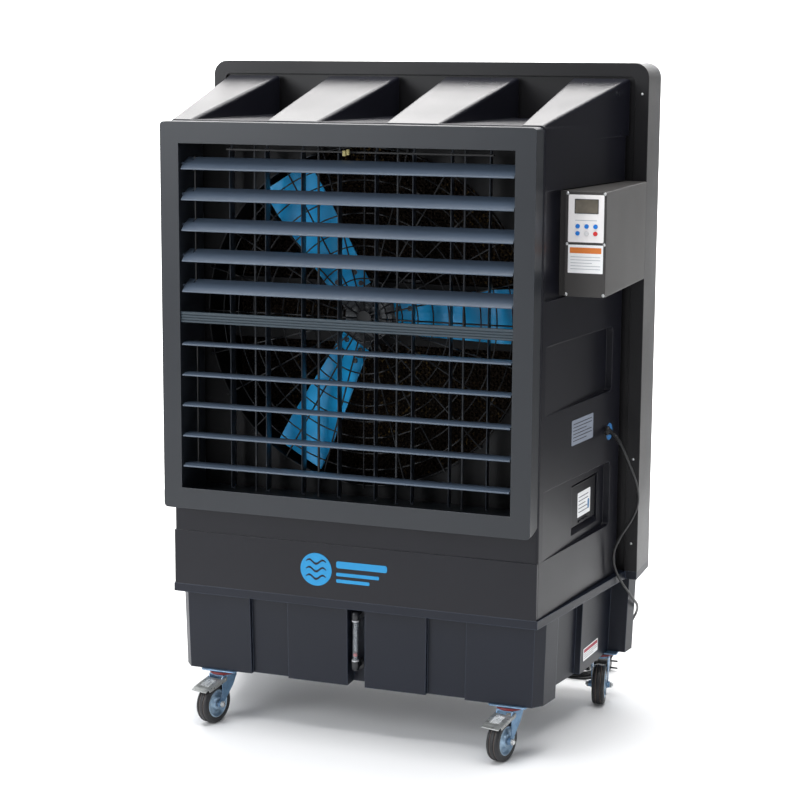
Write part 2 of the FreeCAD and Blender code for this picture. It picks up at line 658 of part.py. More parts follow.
def make_vane(x):
    half = VANE_CHORD / 2
    side = 3.2
    front = Part.Arc(V(-1.2, -half + 1.2, 0), V(0, -half, 0), V(1.2, -half + 1.2, 0)).toShape()
    right = Part.Arc(V(1.2, -half + 1.2, 0), V(side, 0, 0), V(1.2, half - 1.2, 0)).toShape()
    back = Part.Arc(V(1.2, half - 1.2, 0), V(0, half, 0), V(-1.2, half - 1.2, 0)).toShape()
    left = Part.Arc(V(-1.2, half - 1.2, 0), V(-side, 0, 0), V(-1.2, -half + 1.2, 0)).toShape()
    blade = Part.Face(Part.Wire([front, right, back, left])).extrude(V(0, 0, VANE_TOP_Z - VANE_BOTTOM_Z))
    blade.translate(V(0, 0, VANE_BOTTOM_Z))
    pins = [rod(PIN_R, (0, 0, DUCT_BOTTOM_Z - 2.5), (0, 0, VANE_BOTTOM_Z + 1)),
            rod(PIN_R, (0, 0, VANE_TOP_Z - 1), (0, 0, DUCT_TOP_Z + 2.5)),
            rod(2.0, (0, -VANE_ARM, VANE_TOP_Z - 1), (0, -VANE_ARM, VANE_TOP_Z + 8))]
    vane = fuse_all([blade] + pins)
    vane.translate(V(x, VANE_Y, 0))
    return turned(vane, (x, VANE_Y, 0), (0, 0, 1), VANE_SWING)


def vane_link_pin(x):
    swing = math.radians(VANE_SWING)
    return (x + VANE_ARM * math.sin(swing), VANE_Y - VANE_ARM * math.cos(swing))


def make_vane_rod():
    """Bar over the vanes' front pins that swings all eight together."""
    pins = [vane_link_pin(x) for x in vane_centres()]
    z0 = VANE_TOP_Z + 1.5
    bar = box(pins[0][0] - 8, pins[-1][0] + 8, pins[0][1] - 4, pins[0][1] + 4, z0, z0 + 4)
    for x, y in pins:
        bar = bar.cut(rod(2.06, (x, y, z0 - 1), (x, y, z0 + 5)))
    return bar


# ---------------------------------------------------------------- fan
def make_fan_shroud():
    """Bulkhead with the round inlet ring and the two bars that carry the motor."""
    y0 = GUARD_Y + 8
    half = wall_x(y0) - WALL - NICHE_DEPTH - 1
    plate = box(-half, half, y0, y0 + 3, CASE_BASE_Z + 2, CASE_TOP_Z - WALL - 0.5)
    ring = rod(SHROUD_HOLE_R + 5, (0, y0, FAN_Z), (0, y0 + 90, FAN_Z))
    hole = rod(SHROUD_HOLE_R, (0, y0 - 1, FAN_Z), (0, y0 + 91, FAN_Z))
    shroud = plate.fuse(ring).cut(hole)
    for z in (FAN_Z - 60, FAN_Z + 60):
        bar = box(-half, half, y0 + 92, y0 + 122, z - 15, z + 15)
        feet = [box(side * (half - 15) - 15, side * (half - 15) + 15, y0 + 2, y0 + 93, z - 15, z + 15)
                for side in (-1, 1)]
        shroud = shroud.multiFuse([bar] + feet)
    return shroud.removeSplitter()


def make_fan_guard():
    wires = []
    for index in range(GUARD_RINGS):
        radius = GUARD_FIRST_R + GUARD_PITCH * index
        wires.append(Part.makeTorus(radius, 1.7, V(0, GUARD_Y, FAN_Z), V(0, 1, 0)))
    last = GUARD_FIRST_R + GUARD_PITCH * (GUARD_RINGS - 1)
    for index in range(GUARD_SPOKES):
        angle = 2 * math.pi * index / GUARD_SPOKES
        inner = GUARD_SPOKE_START_R[index % 2]
        start = (inner * math.cos(angle), GUARD_Y - 3.6, FAN_Z + inner * math.sin(angle))
        end = ((last + 8) * math.cos(angle), GUARD_Y - 3.6, FAN_Z + (last + 8) * math.sin(angle))
        wires.append(rod(2.0, start, end))
    wires.append(rod(GUARD_HUB_R, (0, GUARD_Y - 6, FAN_Z), (0, GUARD_Y - 1.5, FAN_Z)))
    for index in range(GUARD_POSTS):
        angle = 2 * math.pi * (index + 0.5) / GUARD_POSTS
        x = (last + 7) * math.cos(angle)
        z = FAN_Z + (last + 7) * math.sin(angle)
        wires.append(rod(3.0, (x, GUARD_Y - 3.6, z), (x, GUARD_Y + 8, z)))
    return wires[0].multiFuse(wires[1:])


def make_guard_bars():
    return Part.makeCompound([rod(3.0, (x, GUARD_BAR_Y, DUCT_BOTTOM_Z), (x, GUARD_BAR_Y, DUCT_TOP_Z))
                              for x in GUARD_BAR_X])


def make_fan_motor():
    y0 = GUARD_Y + 8 + 92
    body = rod(78.0, (0, y0 + 30.2, FAN_Z), (0, y0 + 190, FAN_Z))
    flange = box(-95, 95, y0 + 30.2, y0 + 38, FAN_Z - 80, FAN_Z + 80)
    shaft = rod(12.0, (0, FAN_Y - 16, FAN_Z), (0, y0 + 40, FAN_Z))
    rib_count = 12
    ribs = []
    for index in range(rib_count):
        rib = box(74, 86, y0 + 45, y0 + 170, FAN_Z - 2, FAN_Z + 2)
        ribs.append(turned(rib, (0, 0, FAN_Z), (0, 1, 0), 360.0 * index / rib_count))
    return fuse_all([body, flange, shaft] + ribs)


def make_fan_hub():
    bore = rod(12.05, (0, FAN_Y - 40, FAN_Z), (0, FAN_Y + 60, FAN_Z))
    disc = rod(58.0, (0, FAN_Y - 4, FAN_Z), (0, FAN_Y + 4, FAN_Z))
    boss = rod(30.0, (0, FAN_Y - 14, FAN_Z), (0, FAN_Y + 40, FAN_Z))
    arms = []
    for index in range(BLADE_COUNT):
        arm = box(40, 122, FAN_Y - 2, FAN_Y + 2, FAN_Z - 40, FAN_Z + 40)
        pitched = turned(arm, (0, FAN_Y, FAN_Z), (1, 0, 0), BLADE_ROOT_PITCH)
        arms.append(turned(pitched, (0, 0, FAN_Z), (0, -1, 0), blade_angle(index)))
    return fuse_all([disc, boss] + arms + blade_bolts()).cut(bore)


BLADE_ROOT_PITCH = 18.0
BLADE_TIP_PITCH = 6.0
BLADE_THICK = 2.4
BLADE_SEAT = 2.0           # the blade lies this far in front of its arm's mid plane
# radius, chord and how far along its twist each section of the blade is
BLADE_SECTIONS = ((BLADE_ROOT_R + 6, 88.0, 0.0), (124.0, 98.0, 0.0), (220.0, 114.0, 0.4),
                  (320.0, 130.0, 0.8), (389.0, 132.0, 1.0))


def blade_angle(index):
    return BLADE_FIRST_ANGLE + 360.0 * index / BLADE_COUNT


def blade_section(radius, chord, part_way):
    """Pitched rectangle across the blade at one radius, before the blade is turned in place."""
    pitch = math.radians(BLADE_ROOT_PITCH + (BLADE_TIP_PITCH - BLADE_ROOT_PITCH) * part_way)
    corners = []
    for side, depth in ((-1, 0), (1, 0), (1, 1), (-1, 1)):
        across = side * chord / 2
        out = -BLADE_SEAT - depth * BLADE_THICK
        corners.append((radius,
                        FAN_Y + out * math.cos(pitch) - across * math.sin(pitch),
                        FAN_Z + out * math.sin(pitch) + across * math.cos(pitch)))
    return corners


def make_fan_blades():
    blades = []
    for index in range(BLADE_COUNT):
        blade = loft(*[blade_section(*section) for section in BLADE_SECTIONS])
        blades.append(turned(blade, (0, 0, FAN_Z), (0, -1, 0), blade_angle(index)))
    return Part.makeCompound(blades)


def blade_bolts():
    bolts = []
    for index in range(BLADE_COUNT):
        for radius, across in ((78, -24), (78, 24), (108, -24), (108, 24)):
            head = Part.makeCylinder(6.0, 4.0, V(radius, FAN_Y - BLADE_SEAT - BLADE_THICK - 4,
                                                 FAN_Z + across), V(0, 1, 0))
            pitched = turned(head, (0, FAN_Y, FAN_Z), (1, 0, 0), BLADE_ROOT_PITCH)
            bolts.append(turned(pitched, (0, 0, FAN_Z), (0, -1, 0), blade_angle(index)))
    return bolts


# ---------------------------------------------------------------- control box
BOX_WALL = 3.0
BOX_COVER_X = 482.0        # left edge of the front cover
BOX_STEP = 16.0            # the box steps back this far on the left of the cover
KEYPAD = (489.0, 571.0, 1216.0, 1323.0)
SCREW_XZ = tuple((x, z) for x in (487.0, 573.0) for z in (1096.0, 1212.0, 1326.0))


def niche_floor_x(y):
    return wall_x(y) - NICHE_DEPTH + 0.3


def make_control_box():
    y0 = BOX_FRONT_Y
    y1 = CASE_REAR_Y - 0.5
    step_y = y0 + BOX_STEP
    plan = ((niche_floor_x(step_y), step_y), (BOX_COVER_X, step_y), (BOX_COVER_X, y0),
            (HALF_WIDTH, y0), (HALF_WIDTH, HOUSING_FRONT_Y - 0.5),
            (niche_floor_x(y1), HOUSING_FRONT_Y - 0.5), (niche_floor_x(y1), y1))
    height = BOX_TOP_Z - BOX_BOTTOM_Z
    outside = prism([(x, y, BOX_BOTTOM_Z) for x, y in plan], (0, 0, height))
    outside = fillet_edges(outside, 3.0, lambda edge: edge.Vertexes[0].Point.x > HALF_WIDTH - 1
                           and edge.Vertexes[1].Point.x > HALF_WIDTH - 1
                           and edge.Vertexes[0].Point.y < HOUSING_FRONT_Y - 1)
    hollow = prism([(BOX_COVER_X + BOX_WALL, y0 + BOX_WALL, BOX_BOTTOM_Z + BOX_WALL),
                    (HALF_WIDTH - BOX_WALL, y0 + BOX_WALL, BOX_BOTTOM_Z + BOX_WALL),
                    (HALF_WIDTH - BOX_WALL, y1 - BOX_WALL, BOX_BOTTOM_Z + BOX_WALL),
                    (niche_floor_x(y1) + BOX_WALL, y1 - BOX_WALL, BOX_BOTTOM_Z + BOX_WALL)],
                   (0, 0, height - 2 * BOX_WALL))
    holes = [rod(BUTTON_R + 0.3, (x, y0 - 1, z), (x, y0 + BOX_WALL + 1, z))
             for x, z in BUTTON_CENTRES]
    holes += [rod(1.5, (x, y0 - 1, z), (x, y0 + 6, z)) for x, z in SCREW_XZ]
    return outside.cut(hollow).cut(Part.makeCompound(holes))


def make_keypad_plate():
    x0, x1, z0, z1 = KEYPAD
    plate = box(x0, x1, BOX_FRONT_Y - 1.6, BOX_FRONT_Y, z0, z1)
    plate = fillet_edges(plate, 3.0, lambda edge: runs_along(edge, 1))
    for x, z in BUTTON_CENTRES:
        plate = plate.cut(rod(BUTTON_R + 0.3, (x, BOX_FRONT_Y - 3, z), (x, BOX_FRONT_Y + 1, z)))
    return plate


def make_button(x, z):
    stem = rod(BUTTON_R, (x, BOX_FRONT_Y - 3.2, z), (x, BOX_FRONT_Y + 4, z))
    collar = rod(BUTTON_R + 1.6, (x, BOX_FRONT_Y + BOX_WALL + 0.3, z), (x, BOX_FRONT_Y + 5.5, z))
    return stem.fuse(collar).removeSplitter()


# ---------------------------------------------------------------- cord
GLAND_Y = 105.0
GLAND_Z = 729.5
GLAND_THREAD_R = 8.0
NOSE_WAY = (0.766, 0.0, -0.643)    # the flexible nose droops with the cord


def on_side_wall(shape, y, z):
    """Local x points out of the flared side wall."""
    turn = FreeCAD.Rotation(V(0, 0, 1), -math.degrees(math.atan(CASE_FLARE)))
    placed = shape.copy()
    placed.Placement = FreeCAD.Placement(V(wall_x(y), y, z), turn)
    return placed


def make_cable_gland():
    thread = rod(GLAND_THREAD_R - 0.05, (-8, 0, 0), (1, 0, 0))
    nut = prism([(0, 12 * math.cos(math.pi * k / 3), 12 * math.sin(math.pi * k / 3))
                 for k in range(6)], (7, 0, 0))
    dome = Part.makeCone(9.5, 7.5, 4.0, V(7, 0, 0), V(1, 0, 0))
    nose = Part.makeCone(7.0, 4.2, 14.0, V(9, 0, 0), V(*NOSE_WAY))
    return on_side_wall(fuse_all([thread, nut, dome, nose]), GLAND_Y, GLAND_Z)


def cord_radii():
    corners = [V(*point) for point in CORD_ROUTE]
    radii = []
    for index in range(1, len(corners) - 1):
        before = corners[index] - corners[index - 1]
        after = corners[index + 1] - corners[index]
        half_turn = before.getAngle(after) / 2
        radii.append(0.45 * min(before.Length, after.Length) / math.tan(half_turn))
    return radii


def make_cord_tube():
    radii = cord_radii()
    path = bent_path(CORD_ROUTE, radii)
    tube = tube_along(path, CORD_R)
    section = math.pi * CORD_R ** 2
    print("cord arc radii:", [round(radius, 1) for radius in radii])
    print("cord tube length %.1f, volume over section times length %.4f"
          % (path.Length, tube.Volume / (section * path.Length)))
    return tube


def make_cord_coil():
    x, y = COIL_CENTRE
    base = V(x, y, 0)
    half_width = COIL_COLUMNS * CORD_R
    height = COIL_ROWS * 2 * CORD_R
    outer = Part.makeCylinder(COIL_MEAN_R + half_width, height, base)
    return outer.cut(Part.makeCylinder(COIL_MEAN_R - half_width, height, base))


def make_plug():
    """Two-pin mains plug lying on the floor beside the coil."""
    x, y = PLUG_AT
    away = V(1, 0, 0)
    body = Part.makeCylinder(PLUG_R, PLUG_LENGTH, V(x, y, PLUG_R), away)
    body = body.makeFillet(PLUG_ROUNDING, [edge for edge in body.Edges if edge.Length > 6 * PLUG_R])
    tip_r, root_r = PLUG_NOSE_R
    nose = Part.makeCone(tip_r, root_r, PLUG_NOSE_LENGTH + 1, V(x - PLUG_NOSE_LENGTH, y, PLUG_R), away)
    face_x = x + PLUG_LENGTH
    pins = []
    for side in (-1, 1):
        z = PLUG_R + side * PLUG_PIN_SPACING / 2
        pins.append(rod(PLUG_PIN_R, (face_x - 1, y, z), (face_x + PLUG_PIN_LENGTH, y, z)))
    return fuse_all([body, nose] + pins)


# ---------------------------------------------------------------- casters
FORK_TOP_Z = 118.0
FORK_HALF_GAP = 19.0
FORK_SHEET = 2.5
KINGPIN_R = 6.0
PEDAL_PIVOT = (20.0, 108.0)    # distance ahead of the swivel axis, and height


def at_caster(shape, name):
    """Local x is the wheel's axle and local -y is the trailing side."""
    x, y, turn = CASTERS[name]
    placed = shape.copy()
    placed.Placement = FreeCAD.Placement(V(x, y, 0), FreeCAD.Rotation(V(0, 0, 1), turn))
    return placed


def make_caster_plates():
    plates = []
    for name, (x, y, _) in CASTERS.items():
        top = box(x - 46, x + 46, y - 30, y + 30, CASTER_TOP_Z - PLATE_THICK, CASTER_TOP_Z)
        top = fillet_edges(top, 8.0, lambda edge: runs_along(edge, 2))
        race = Part.makeCone(24.0, 29.0, 8.7, V(x, y, FORK_TOP_Z + 0.3))
        pin = rod(KINGPIN_R, (x, y, FORK_TOP_Z - 8), (x, y, CASTER_TOP_Z))
        plates.append(fuse_all([top, race, pin]))
    return Part.makeCompound(plates)


def fork_cheek(side):
    inner = side * FORK_HALF_GAP
    outline = ((inner, 29, FORK_TOP_Z), (inner, -26, FORK_TOP_Z), (inner, -30, 104),
               (inner, -28, 88), (inner, -27, 62), (inner, -TRAIL - 9, 54),
               (inner, -TRAIL - 7, 42), (inner, -TRAIL + 7, 41), (inner, -12, 60),
               (inner, 12, 84), (inner, 27, 108))
    return prism(outline, (side * FORK_SHEET, 0, 0))


def make_fork():
    crown = box(-FORK_HALF_GAP - FORK_SHEET, FORK_HALF_GAP + FORK_SHEET, -26, 29,
                FORK_TOP_Z - 3, FORK_TOP_Z)
    cup = Part.makeCylinder(24.0, 6.0, V(0, 0, FORK_TOP_Z - 6))
    axle = rod(5.0, (-28, -TRAIL, WHEEL_R), (28, -TRAIL, WHEEL_R))
    heads = [rod(8.0, (side * 21.5, -TRAIL, WHEEL_R), (side * 27, -TRAIL, WHEEL_R))
             for side in (-1, 1)]
    hole = rod(KINGPIN_R + PIN_CLEARANCE, (0, 0, FORK_TOP_Z - 9), (0, 0, FORK_TOP_Z + 1))
    return fuse_all([crown, cup, fork_cheek(-1), fork_cheek(1), axle] + heads).cut(hole)


def make_wheel():
    half = WHEEL_HALF_WIDTH
    tread = 3.5
    outline = ((5.05, half), (18, half), (20, 12), (33, 12), (35, half - 1), (WHEEL_R - tread, half - 1),
               (WHEEL_R - 1.2, half - 5), (WHEEL_R, 7), (WHEEL_R - 2, 6), (WHEEL_R - 2, 4.5),
               (WHEEL_R, 3.5), (WHEEL_R, 0))
    right = [(across, -TRAIL, WHEEL_R + radius) for radius, across in outline]
    left = [(-across, -TRAIL, WHEEL_R + radius) for radius, across in reversed(outline[:-1])]
    section = Part.Face(closed_wire(right + left))
    return section.revolve(V(0, -TRAIL, WHEEL_R), V(1, 0, 0), 360)


def make_pedal():
    y, z = PEDAL_PIVOT
    half = FORK_HALF_GAP + FORK_SHEET + 0.8
    slope = ((-half, -31, 109.7), (-half, -84, 98), (-half, -84, 95.5), (-half, -31, 107.2))
    top = prism(slope, (2 * half, 0, 0))
    lip = prism(((-half, -83, 98.2), (-half, -94, 94), (-half, -94, 91.5), (-half, -83, 95.5)),
                (2 * half, 0, 0))
    cheeks = []
    for side in (-1, 1):
        outline = ((side * half, -14, 113), (side * half, -84, 97.5), (side * half, -80, 90),
                   (side * half, -24, 101), (side * half, -14, 103))
        cheeks.append(prism(outline, (side * 2.0, 0, 0)))
    pivots = [rod(2.5, (side * (half - 0.4), -y, z), (side * (half + 3.5), -y, z)) for side in (-1, 1)]
    return fuse_all([top, lip] + cheeks + pivots)


# ---------------------------------------------------------------- write every part
def louvre_groups():
    return (("upper", UPPER_LOUVRE_Z, UPPER_LOUVRE_TILT), ("lower", LOWER_LOUVRE_Z, 0.0))


def main():
    os.makedirs("parts", exist_ok=True)
    save("casing", make_casing())
    save("pad_housing", make_pad_housing())
    save("cooling_pad", make_cooling_pad())
    save("water_pipe", make_water_pipe())
    save("pump", make_pump())
    save("water_tank", make_tank())
    save("level_gauge", make_level_gauge())
    save("gauge_ball", make_gauge_ball())
    save("fill_door", make_fill_door())
    save("louvre_frame", make_louvre_frame().fuse(make_guard_bars()))
    save("centre_bar", make_centre_bar())
    for group, heights, tilt in louvre_groups():
        for number, z in enumerate(heights, 1):
            save("%s_louvre_%d" % (group, number), make_louvre(z, tilt))
        save("%s_louvre_link" % group, make_louvre_link(heights, tilt))
    for number, x in enumerate(vane_centres(), 1):
        save("vane_%d" % number, make_vane(x))
    save("vane_rod", make_vane_rod())
    save("fan_guard", make_fan_guard())
    save("fan_shroud", make_fan_shroud())
    save("fan_motor", make_fan_motor())
    save("fan_hub", make_fan_hub())
    save("fan_blades", make_fan_blades())
    save("control_box", make_control_box())
    save("keypad_plate", make_keypad_plate())
    for number, (x, z) in enumerate(BUTTON_CENTRES, 1):
        save("button_%d" % number, make_button(x, z))
    save("cable_gland", make_cable_gland())
    save("cord_tube", make_cord_tube())
    save("cord_coil", make_cord_coil())
    save("plug", make_plug())
    save("caster_plates", make_caster_plates())
    for name in CASTERS:
        save("fork_%s" % name, at_caster(make_fork(), name))
        save("wheel_%s" % name, at_caster(make_wheel(), name))
    for name in ("front_left", "front_right"):
        save("brake_pedal_%s" % name, at_caster(make_pedal(), name))


main()
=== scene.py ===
import json
import math

import bmesh
import bpy
from mathutils import Matrix, Vector, noise


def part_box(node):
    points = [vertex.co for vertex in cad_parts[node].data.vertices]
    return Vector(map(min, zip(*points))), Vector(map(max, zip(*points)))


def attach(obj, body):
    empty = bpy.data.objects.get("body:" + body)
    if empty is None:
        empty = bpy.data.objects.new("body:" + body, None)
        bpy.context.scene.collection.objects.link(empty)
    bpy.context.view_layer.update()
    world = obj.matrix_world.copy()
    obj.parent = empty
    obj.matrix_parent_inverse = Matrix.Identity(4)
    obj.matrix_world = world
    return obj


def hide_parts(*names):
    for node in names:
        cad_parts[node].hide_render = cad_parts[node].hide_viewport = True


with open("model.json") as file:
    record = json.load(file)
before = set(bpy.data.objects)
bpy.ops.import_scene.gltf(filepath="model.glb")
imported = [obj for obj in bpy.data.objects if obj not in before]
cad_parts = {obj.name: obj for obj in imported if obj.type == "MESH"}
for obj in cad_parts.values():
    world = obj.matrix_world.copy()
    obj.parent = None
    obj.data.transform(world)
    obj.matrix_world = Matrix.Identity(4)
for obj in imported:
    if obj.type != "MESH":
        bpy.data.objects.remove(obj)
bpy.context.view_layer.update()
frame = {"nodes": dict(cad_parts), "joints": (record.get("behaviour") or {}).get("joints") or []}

ROOT = "cabinet"
NODES = frame["nodes"]


# ------------------------------------------------------------------ camera
CAMERA_AT = (1.5965, -4.4101, 1.6338)
CAMERA_YAW = 0.3508
CAMERA_PITCH = -0.155
CAMERA_ROLL = 0.0049
CAMERA_LENS = 86.79
CAMERA_SENSOR = 36.0
CAMERA_SHIFT = (0.0172, -0.0564)


def add_camera():
    data = bpy.data.cameras.new("view_camera")
    data.sensor_width = CAMERA_SENSOR
    data.lens = CAMERA_LENS
    data.shift_x, data.shift_y = CAMERA_SHIFT
    data.clip_end = 60
    camera = bpy.data.objects.new("view_camera", data)
    bpy.context.scene.collection.objects.link(camera)
    forward = Vector((-math.sin(CAMERA_YAW) * math.cos(CAMERA_PITCH),
                      math.cos(CAMERA_YAW) * math.cos(CAMERA_PITCH),
                      math.sin(CAMERA_PITCH)))
    level = Vector((math.cos(CAMERA_YAW), math.sin(CAMERA_YAW), 0))
    upright = level.cross(forward)
    right = level * math.cos(CAMERA_ROLL) + upright * math.sin(CAMERA_ROLL)
    up = upright * math.cos(CAMERA_ROLL) - level * math.sin(CAMERA_ROLL)
    turn = Matrix((right, up, -forward)).transposed()
    camera.matrix_world = Matrix.Translation(CAMERA_AT) @ turn.to_4x4()
    bpy.context.scene.camera = camera


add_camera()


# ------------------------------------------------------------------ looks
class Look:
    """A node material that is built up one layer at a time on a Principled shader."""

    def __init__(self, name, colour, rough, metallic=0.0):
        self.material = bpy.data.materials.new(name)
        self.material.use_nodes = True
        self.tree = self.material.node_tree
        self.shader = self.tree.nodes["Principled BSDF"]
        self.shader.inputs["Metallic"].default_value = metallic
        self.shader.inputs["Base Color"].default_value = (*colour, 1)
        self.shader.inputs["Roughness"].default_value = rough
        self.colour = None
        self.flat_colour = (*colour, 1)
        self.rough = rough
        self.place = self.node("ShaderNodeTexCoord").outputs["Object"]
        self.normal = None

    def node(self, kind, **settings):
        made = self.tree.nodes.new(kind)
        for key, value in settings.items():
            setattr(made, key, value)
        return made

    def feed(self, socket, value):
        if isinstance(value, bpy.types.NodeSocket):
            self.tree.links.new(value, socket)
        else:
            socket.default_value = value

    def noise(self, size, detail=3.0, stretch=(1, 1, 1), distortion=0.0):
        """Noise whose features are about size metres across, 0 to 1."""
        mapping = self.node("ShaderNodeMapping")
        self.feed(mapping.inputs["Vector"], self.place)
        mapping.inputs["Scale"].default_value = [1 / (size * s) for s in stretch]
        texture = self.node("ShaderNodeTexNoise")
        self.feed(texture.inputs["Vector"], mapping.outputs[0])
        texture.inputs["Scale"].default_value = 1.0
        texture.inputs["Detail"].default_value = detail
        texture.inputs["Distortion"].default_value = distortion
        return texture.outputs["Fac"]

    def ramp(self, value, low, high, out_low=0.0, out_high=1.0):
        ramp = self.node("ShaderNodeMapRange")
        for index, number in enumerate((value, low, high, out_low, out_high)):
            self.feed(ramp.inputs[index], number)
        return ramp.outputs[0]

    def math(self, operation, first, second=0.0, clamp=False):
        made = self.node("ShaderNodeMath", operation=operation, use_clamp=clamp)
        self.feed(made.inputs[0], first)
        self.feed(made.inputs[1], second)
        return made.outputs[0]

    def blend(self, amount, colour):
        """Lays a colour over what is there, by amount from 0 to 1."""
        mix = self.node("ShaderNodeMix", data_type="RGBA")
        self.feed(mix.inputs[0], amount)
        self.feed(mix.inputs[6], self.colour or self.flat_colour)
        self.feed(mix.inputs[7], colour if isinstance(colour, bpy.types.NodeSocket) else (*colour, 1))
        self.colour = mix.outputs[2]

    def mottle(self, size, strength, detail=3.0, stretch=(1, 1, 1)):
        """Broad lightening and darkening of the colour."""
        base = self.flat_colour
        light = [min(1.0, channel * (1 + strength)) for channel in base[:3]]
        dark = [channel * (1 - strength) for channel in base[:3]]
        mix = self.node("ShaderNodeMix", data_type="RGBA")
        self.feed(mix.inputs[0], self.ramp(self.noise(size, detail, stretch), 0.3, 0.7))
        self.feed(mix.inputs[6], (*dark, 1))
        self.feed(mix.inputs[7], (*light, 1))
        self.colour = mix.outputs[2]

    def edges(self, radius, strength, colour):
        """Lighter edges where the surface turns, a painted highlight broken by patchy wear, and a softly
        rounded normal.
        """
        bevel = self.node("ShaderNodeBevel", samples=4)
        bevel.inputs["Radius"].default_value = radius
        true = self.node("ShaderNodeNewGeometry").outputs["Normal"]
        dot = self.node("ShaderNodeVectorMath", operation="DOT_PRODUCT")
        self.feed(dot.inputs[0], bevel.outputs[0])
        self.feed(dot.inputs[1], true)
        turn = self.ramp(dot.outputs["Value"], 0.985, 0.80)
        patchy = self.ramp(self.noise(0.12, 2.0), 0.35, 0.65, 0.70, 1.0)
        # lighter edge colour: painted highlight along the turns, mixed with patchy wear
        edge_highlight_and_wear = self.math("MULTIPLY", self.math("MULTIPLY", turn, patchy), strength, clamp=True)
        self.blend(edge_highlight_and_wear, colour)
        self.normal = bevel.outputs[0]

    def roughen(self, size, spread, detail=4.0, stretch=(1, 1, 1)):
        value = self.ramp(self.noise(size, detail, stretch), 0.3, 0.7,
                          max(0.02, self.rough - spread), self.rough + spread)
        self.feed(self.shader.inputs["Roughness"], value)

    def grain(self, size, height, detail=2.0, stretch=(1, 1, 1)):
        bump = self.node("ShaderNodeBump")
        bump.inputs["Strength"].default_value = 1.0
        bump.inputs["Distance"].default_value = height
        self.feed(bump.inputs["Height"], self.noise(size, detail, stretch))
        if self.normal:
            self.feed(bump.inputs["Normal"], self.normal)
        self.normal = bump.outputs[0]

    def done(self):
        if self.colour:
            self.feed(self.shader.inputs["Base Color"], self.colour)
        if self.normal:
            self.feed(self.shader.inputs["Normal"], self.normal)
        return self.material


def moulded(name, colour, rough, edge_highlight_and_wear_colour, edge=0.5, grain=0.0012, height=0.00012,
            mottle=0.10, radius=0.0025, specular=0.30):
    """Textured satin moulding: faint grain, uneven gloss and softened edges lightened by painted highlight
    and wear.
    """
    look = Look(name, colour, rough)
    look.shader.inputs["Specular IOR Level"].default_value = specular
    look.mottle(0.40, mottle)
    look.edges(radius, edge, edge_highlight_and_wear_colour)
    look.roughen(0.25, 0.03, 2.0)
    look.grain(grain, height)
    return look.done()


def smooth_plastic(name, colour, rough, edge_highlight_and_wear_colour, edge=0.4, mottle=0.05, radius=0.0015):
    """Gloss or satin plastic with slight ripple, fine scuffs and lighter edges of painted highlight and
    wear.
    """
    look = Look(name, colour, rough)
    look.mottle(0.15, mottle)
    look.edges(radius, edge, edge_highlight_and_wear_colour)
    look.roughen(0.12, 0.03, 2.0, stretch=(1, 1, 3))
    look.grain(0.02, 0.00008)
    return look.done()


def plated(name, colour, rough, stain=(0.5, 0.5, 0.5), stretch=(1, 1, 1), radius=0.0012):
    """Plated or brushed steel: cloudy passivation, fine scratches, bright edges of painted highlight and
    wear.
    """
    look = Look(name, colour, rough, metallic=0.65)
    look.mottle(0.02, 0.22, 5.0)
    look.blend(look.ramp(look.noise(0.006, 6.0), 0.56, 0.75, 0.0, 0.4), stain)
    look.edges(radius, 0.6, (0.85, 0.87, 0.9))
    look.roughen(0.008, 0.12, stretch=stretch)
    look.grain(0.0015, 0.00006, stretch=stretch)
    return look.done()


def rubber(name, colour, rough, grain=0.0008):
    look = Look(name, colour, rough)
    look.mottle(0.02, 0.25, 5.0)
    look.blend(look.ramp(look.noise(0.012, 6.0), 0.58, 0.8, 0.0, 0.18), (0.25, 0.24, 0.22))
    look.roughen(0.01, 0.1)
    look.grain(grain, 0.00012)
    return look.done()


def printed(name, colour, rough=0.4):
    look = Look(name, colour, rough)
    look.mottle(0.02, 0.03)
    look.roughen(0.01, 0.05)
    look.grain(0.0006, 0.00002)
    return look.done()


